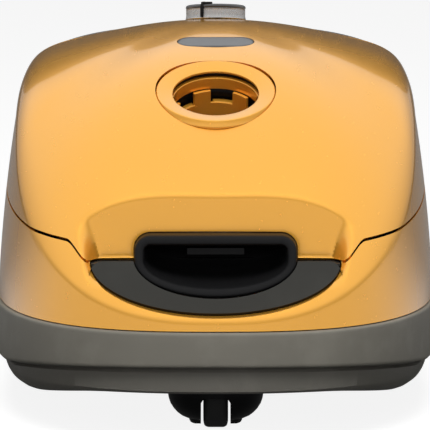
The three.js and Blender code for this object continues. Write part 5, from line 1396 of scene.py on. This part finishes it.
# ---- operators ----------------------------------------------------------------------------------
class VACUUM_OT_studio(bpy.types.Operator):
    """Build the camera, the floor, the world and the lamps"""
    bl_idname = "vacuum.studio"
    bl_label = "Studio"

    def execute(self, context):
        build_studio()
        return {"FINISHED"}


class VACUUM_OT_lid(bpy.types.Operator):
    """Build the hinged lid with its brow and recess"""
    bl_idname = "vacuum.lid"
    bl_label = "Lid"

    def execute(self, context):
        build_lid()
        return {"FINISHED"}


class VACUUM_OT_rear_cover(bpy.types.Operator):
    """Build the rear cover with its vents and the dial's seat"""
    bl_idname = "vacuum.rear_cover"
    bl_label = "Rear cover"

    def execute(self, context):
        build_cover()
        return {"FINISHED"}


class VACUUM_OT_body(bpy.types.Operator):
    """Build the body shell and the seat of the front panel"""
    bl_idname = "vacuum.body"
    bl_label = "Body shell"

    def execute(self, context):
        build_body()
        return {"FINISHED"}


class VACUUM_OT_front(bpy.types.Operator):
    """Build the dark front panel and the carrying pocket"""
    bl_idname = "vacuum.front"
    bl_label = "Panel and pocket"

    def execute(self, context):
        build_panel()
        build_pocket()
        return {"FINISHED"}


class VACUUM_OT_port(bpy.types.Operator):
    """Build the hose port's ring and socket"""
    bl_idname = "vacuum.port"
    bl_label = "Hose port"

    def execute(self, context):
        build_port()
        return {"FINISHED"}


class VACUUM_OT_dial(bpy.types.Operator):
    """Build the knurled power dial and its pointer"""
    bl_idname = "vacuum.power_dial"
    bl_label = "Power dial"

    def execute(self, context):
        build_dial()
        return {"FINISHED"}


class VACUUM_OT_pedals(bpy.types.Operator):
    """Build the two foot pedals"""
    bl_idname = "vacuum.pedals"
    bl_label = "Foot pedals"

    def execute(self, context):
        build_pedals()
        return {"FINISHED"}


class VACUUM_OT_window(bpy.types.Operator):
    """Build the filter indicator's window"""
    bl_idname = "vacuum.indicator"
    bl_label = "Indicator window"

    def execute(self, context):
        build_window()
        return {"FINISHED"}


class VACUUM_OT_base(bpy.types.Operator):
    """Build the lower shell and the soft bumpers"""
    bl_idname = "vacuum.base"
    bl_label = "Lower shell and bumpers"

    def execute(self, context):
        build_lower()
        build_bumpers()
        return {"FINISHED"}


class VACUUM_OT_wheels(bpy.types.Operator):
    """Build the rear wheels, their tyres and caps"""
    bl_idname = "vacuum.wheels"
    bl_label = "Rear wheels"

    def execute(self, context):
        build_wheels()
        return {"FINISHED"}


class VACUUM_OT_castor(bpy.types.Operator):
    """Build the castor's fork and wheel"""
    bl_idname = "vacuum.castor"
    bl_label = "Castor"

    def execute(self, context):
        build_castor()
        return {"FINISHED"}


class VACUUM_OT_dust_bag(bpy.types.Operator):
    """Build the filled dust bag"""
    bl_idname = "vacuum.dust_bag"
    bl_label = "Dust bag"

    def execute(self, context):
        build_bag()
        return {"FINISHED"}


class VACUUM_OT_finishes(bpy.types.Operator):
    """Give the carried-over solids their finishes"""
    bl_idname = "vacuum.finishes"
    bl_label = "Finishes of the inner parts"

    def execute(self, context):
        dress_nodes()
        return {"FINISHED"}


OPERATORS = (VACUUM_OT_studio, VACUUM_OT_lid, VACUUM_OT_rear_cover, VACUUM_OT_body, VACUUM_OT_front,
             VACUUM_OT_port, VACUUM_OT_dial, VACUUM_OT_pedals, VACUUM_OT_window, VACUUM_OT_base,
             VACUUM_OT_wheels, VACUUM_OT_castor, VACUUM_OT_dust_bag, VACUUM_OT_finishes)


class VACUUM_PT_panel(bpy.types.Panel):
    """Buttons for the vacuum cleaner's pieces."""
    bl_idname = "VACUUM_PT_panel"
    bl_label = "Vacuum cleaner"
    bl_space_type = "VIEW_3D"
    bl_region_type = "UI"
    bl_category = "Vacuum"

    def draw(self, context):
        for kind in OPERATORS:
            self.layout.operator(kind.bl_idname)
        for group in ("shell", "dial", "studio", "finish"):
            box = self.layout.box()
            settings = getattr(context.scene.vacuum, group)
            for name in settings.__annotations__:
                box.prop(settings, name)


CLASSES = (ShellSettings, DialSettings, StudioSettings, FinishSettings, VacuumSettings,
           *OPERATORS, VACUUM_PT_panel)


def register():
    for kind in CLASSES:
        bpy.utils.register_class(kind)
    bpy.types.Scene.vacuum = PointerProperty(type=VacuumSettings)


def unregister():
    del bpy.types.Scene.vacuum
    for kind in reversed(CLASSES):
        bpy.utils.unregister_class(kind)


def main():
    register()
    for kind in OPERATORS:
        group, name = kind.bl_idname.split(".")
        getattr(getattr(bpy.ops, group), name)()


if __name__ == "__main__":
    main()
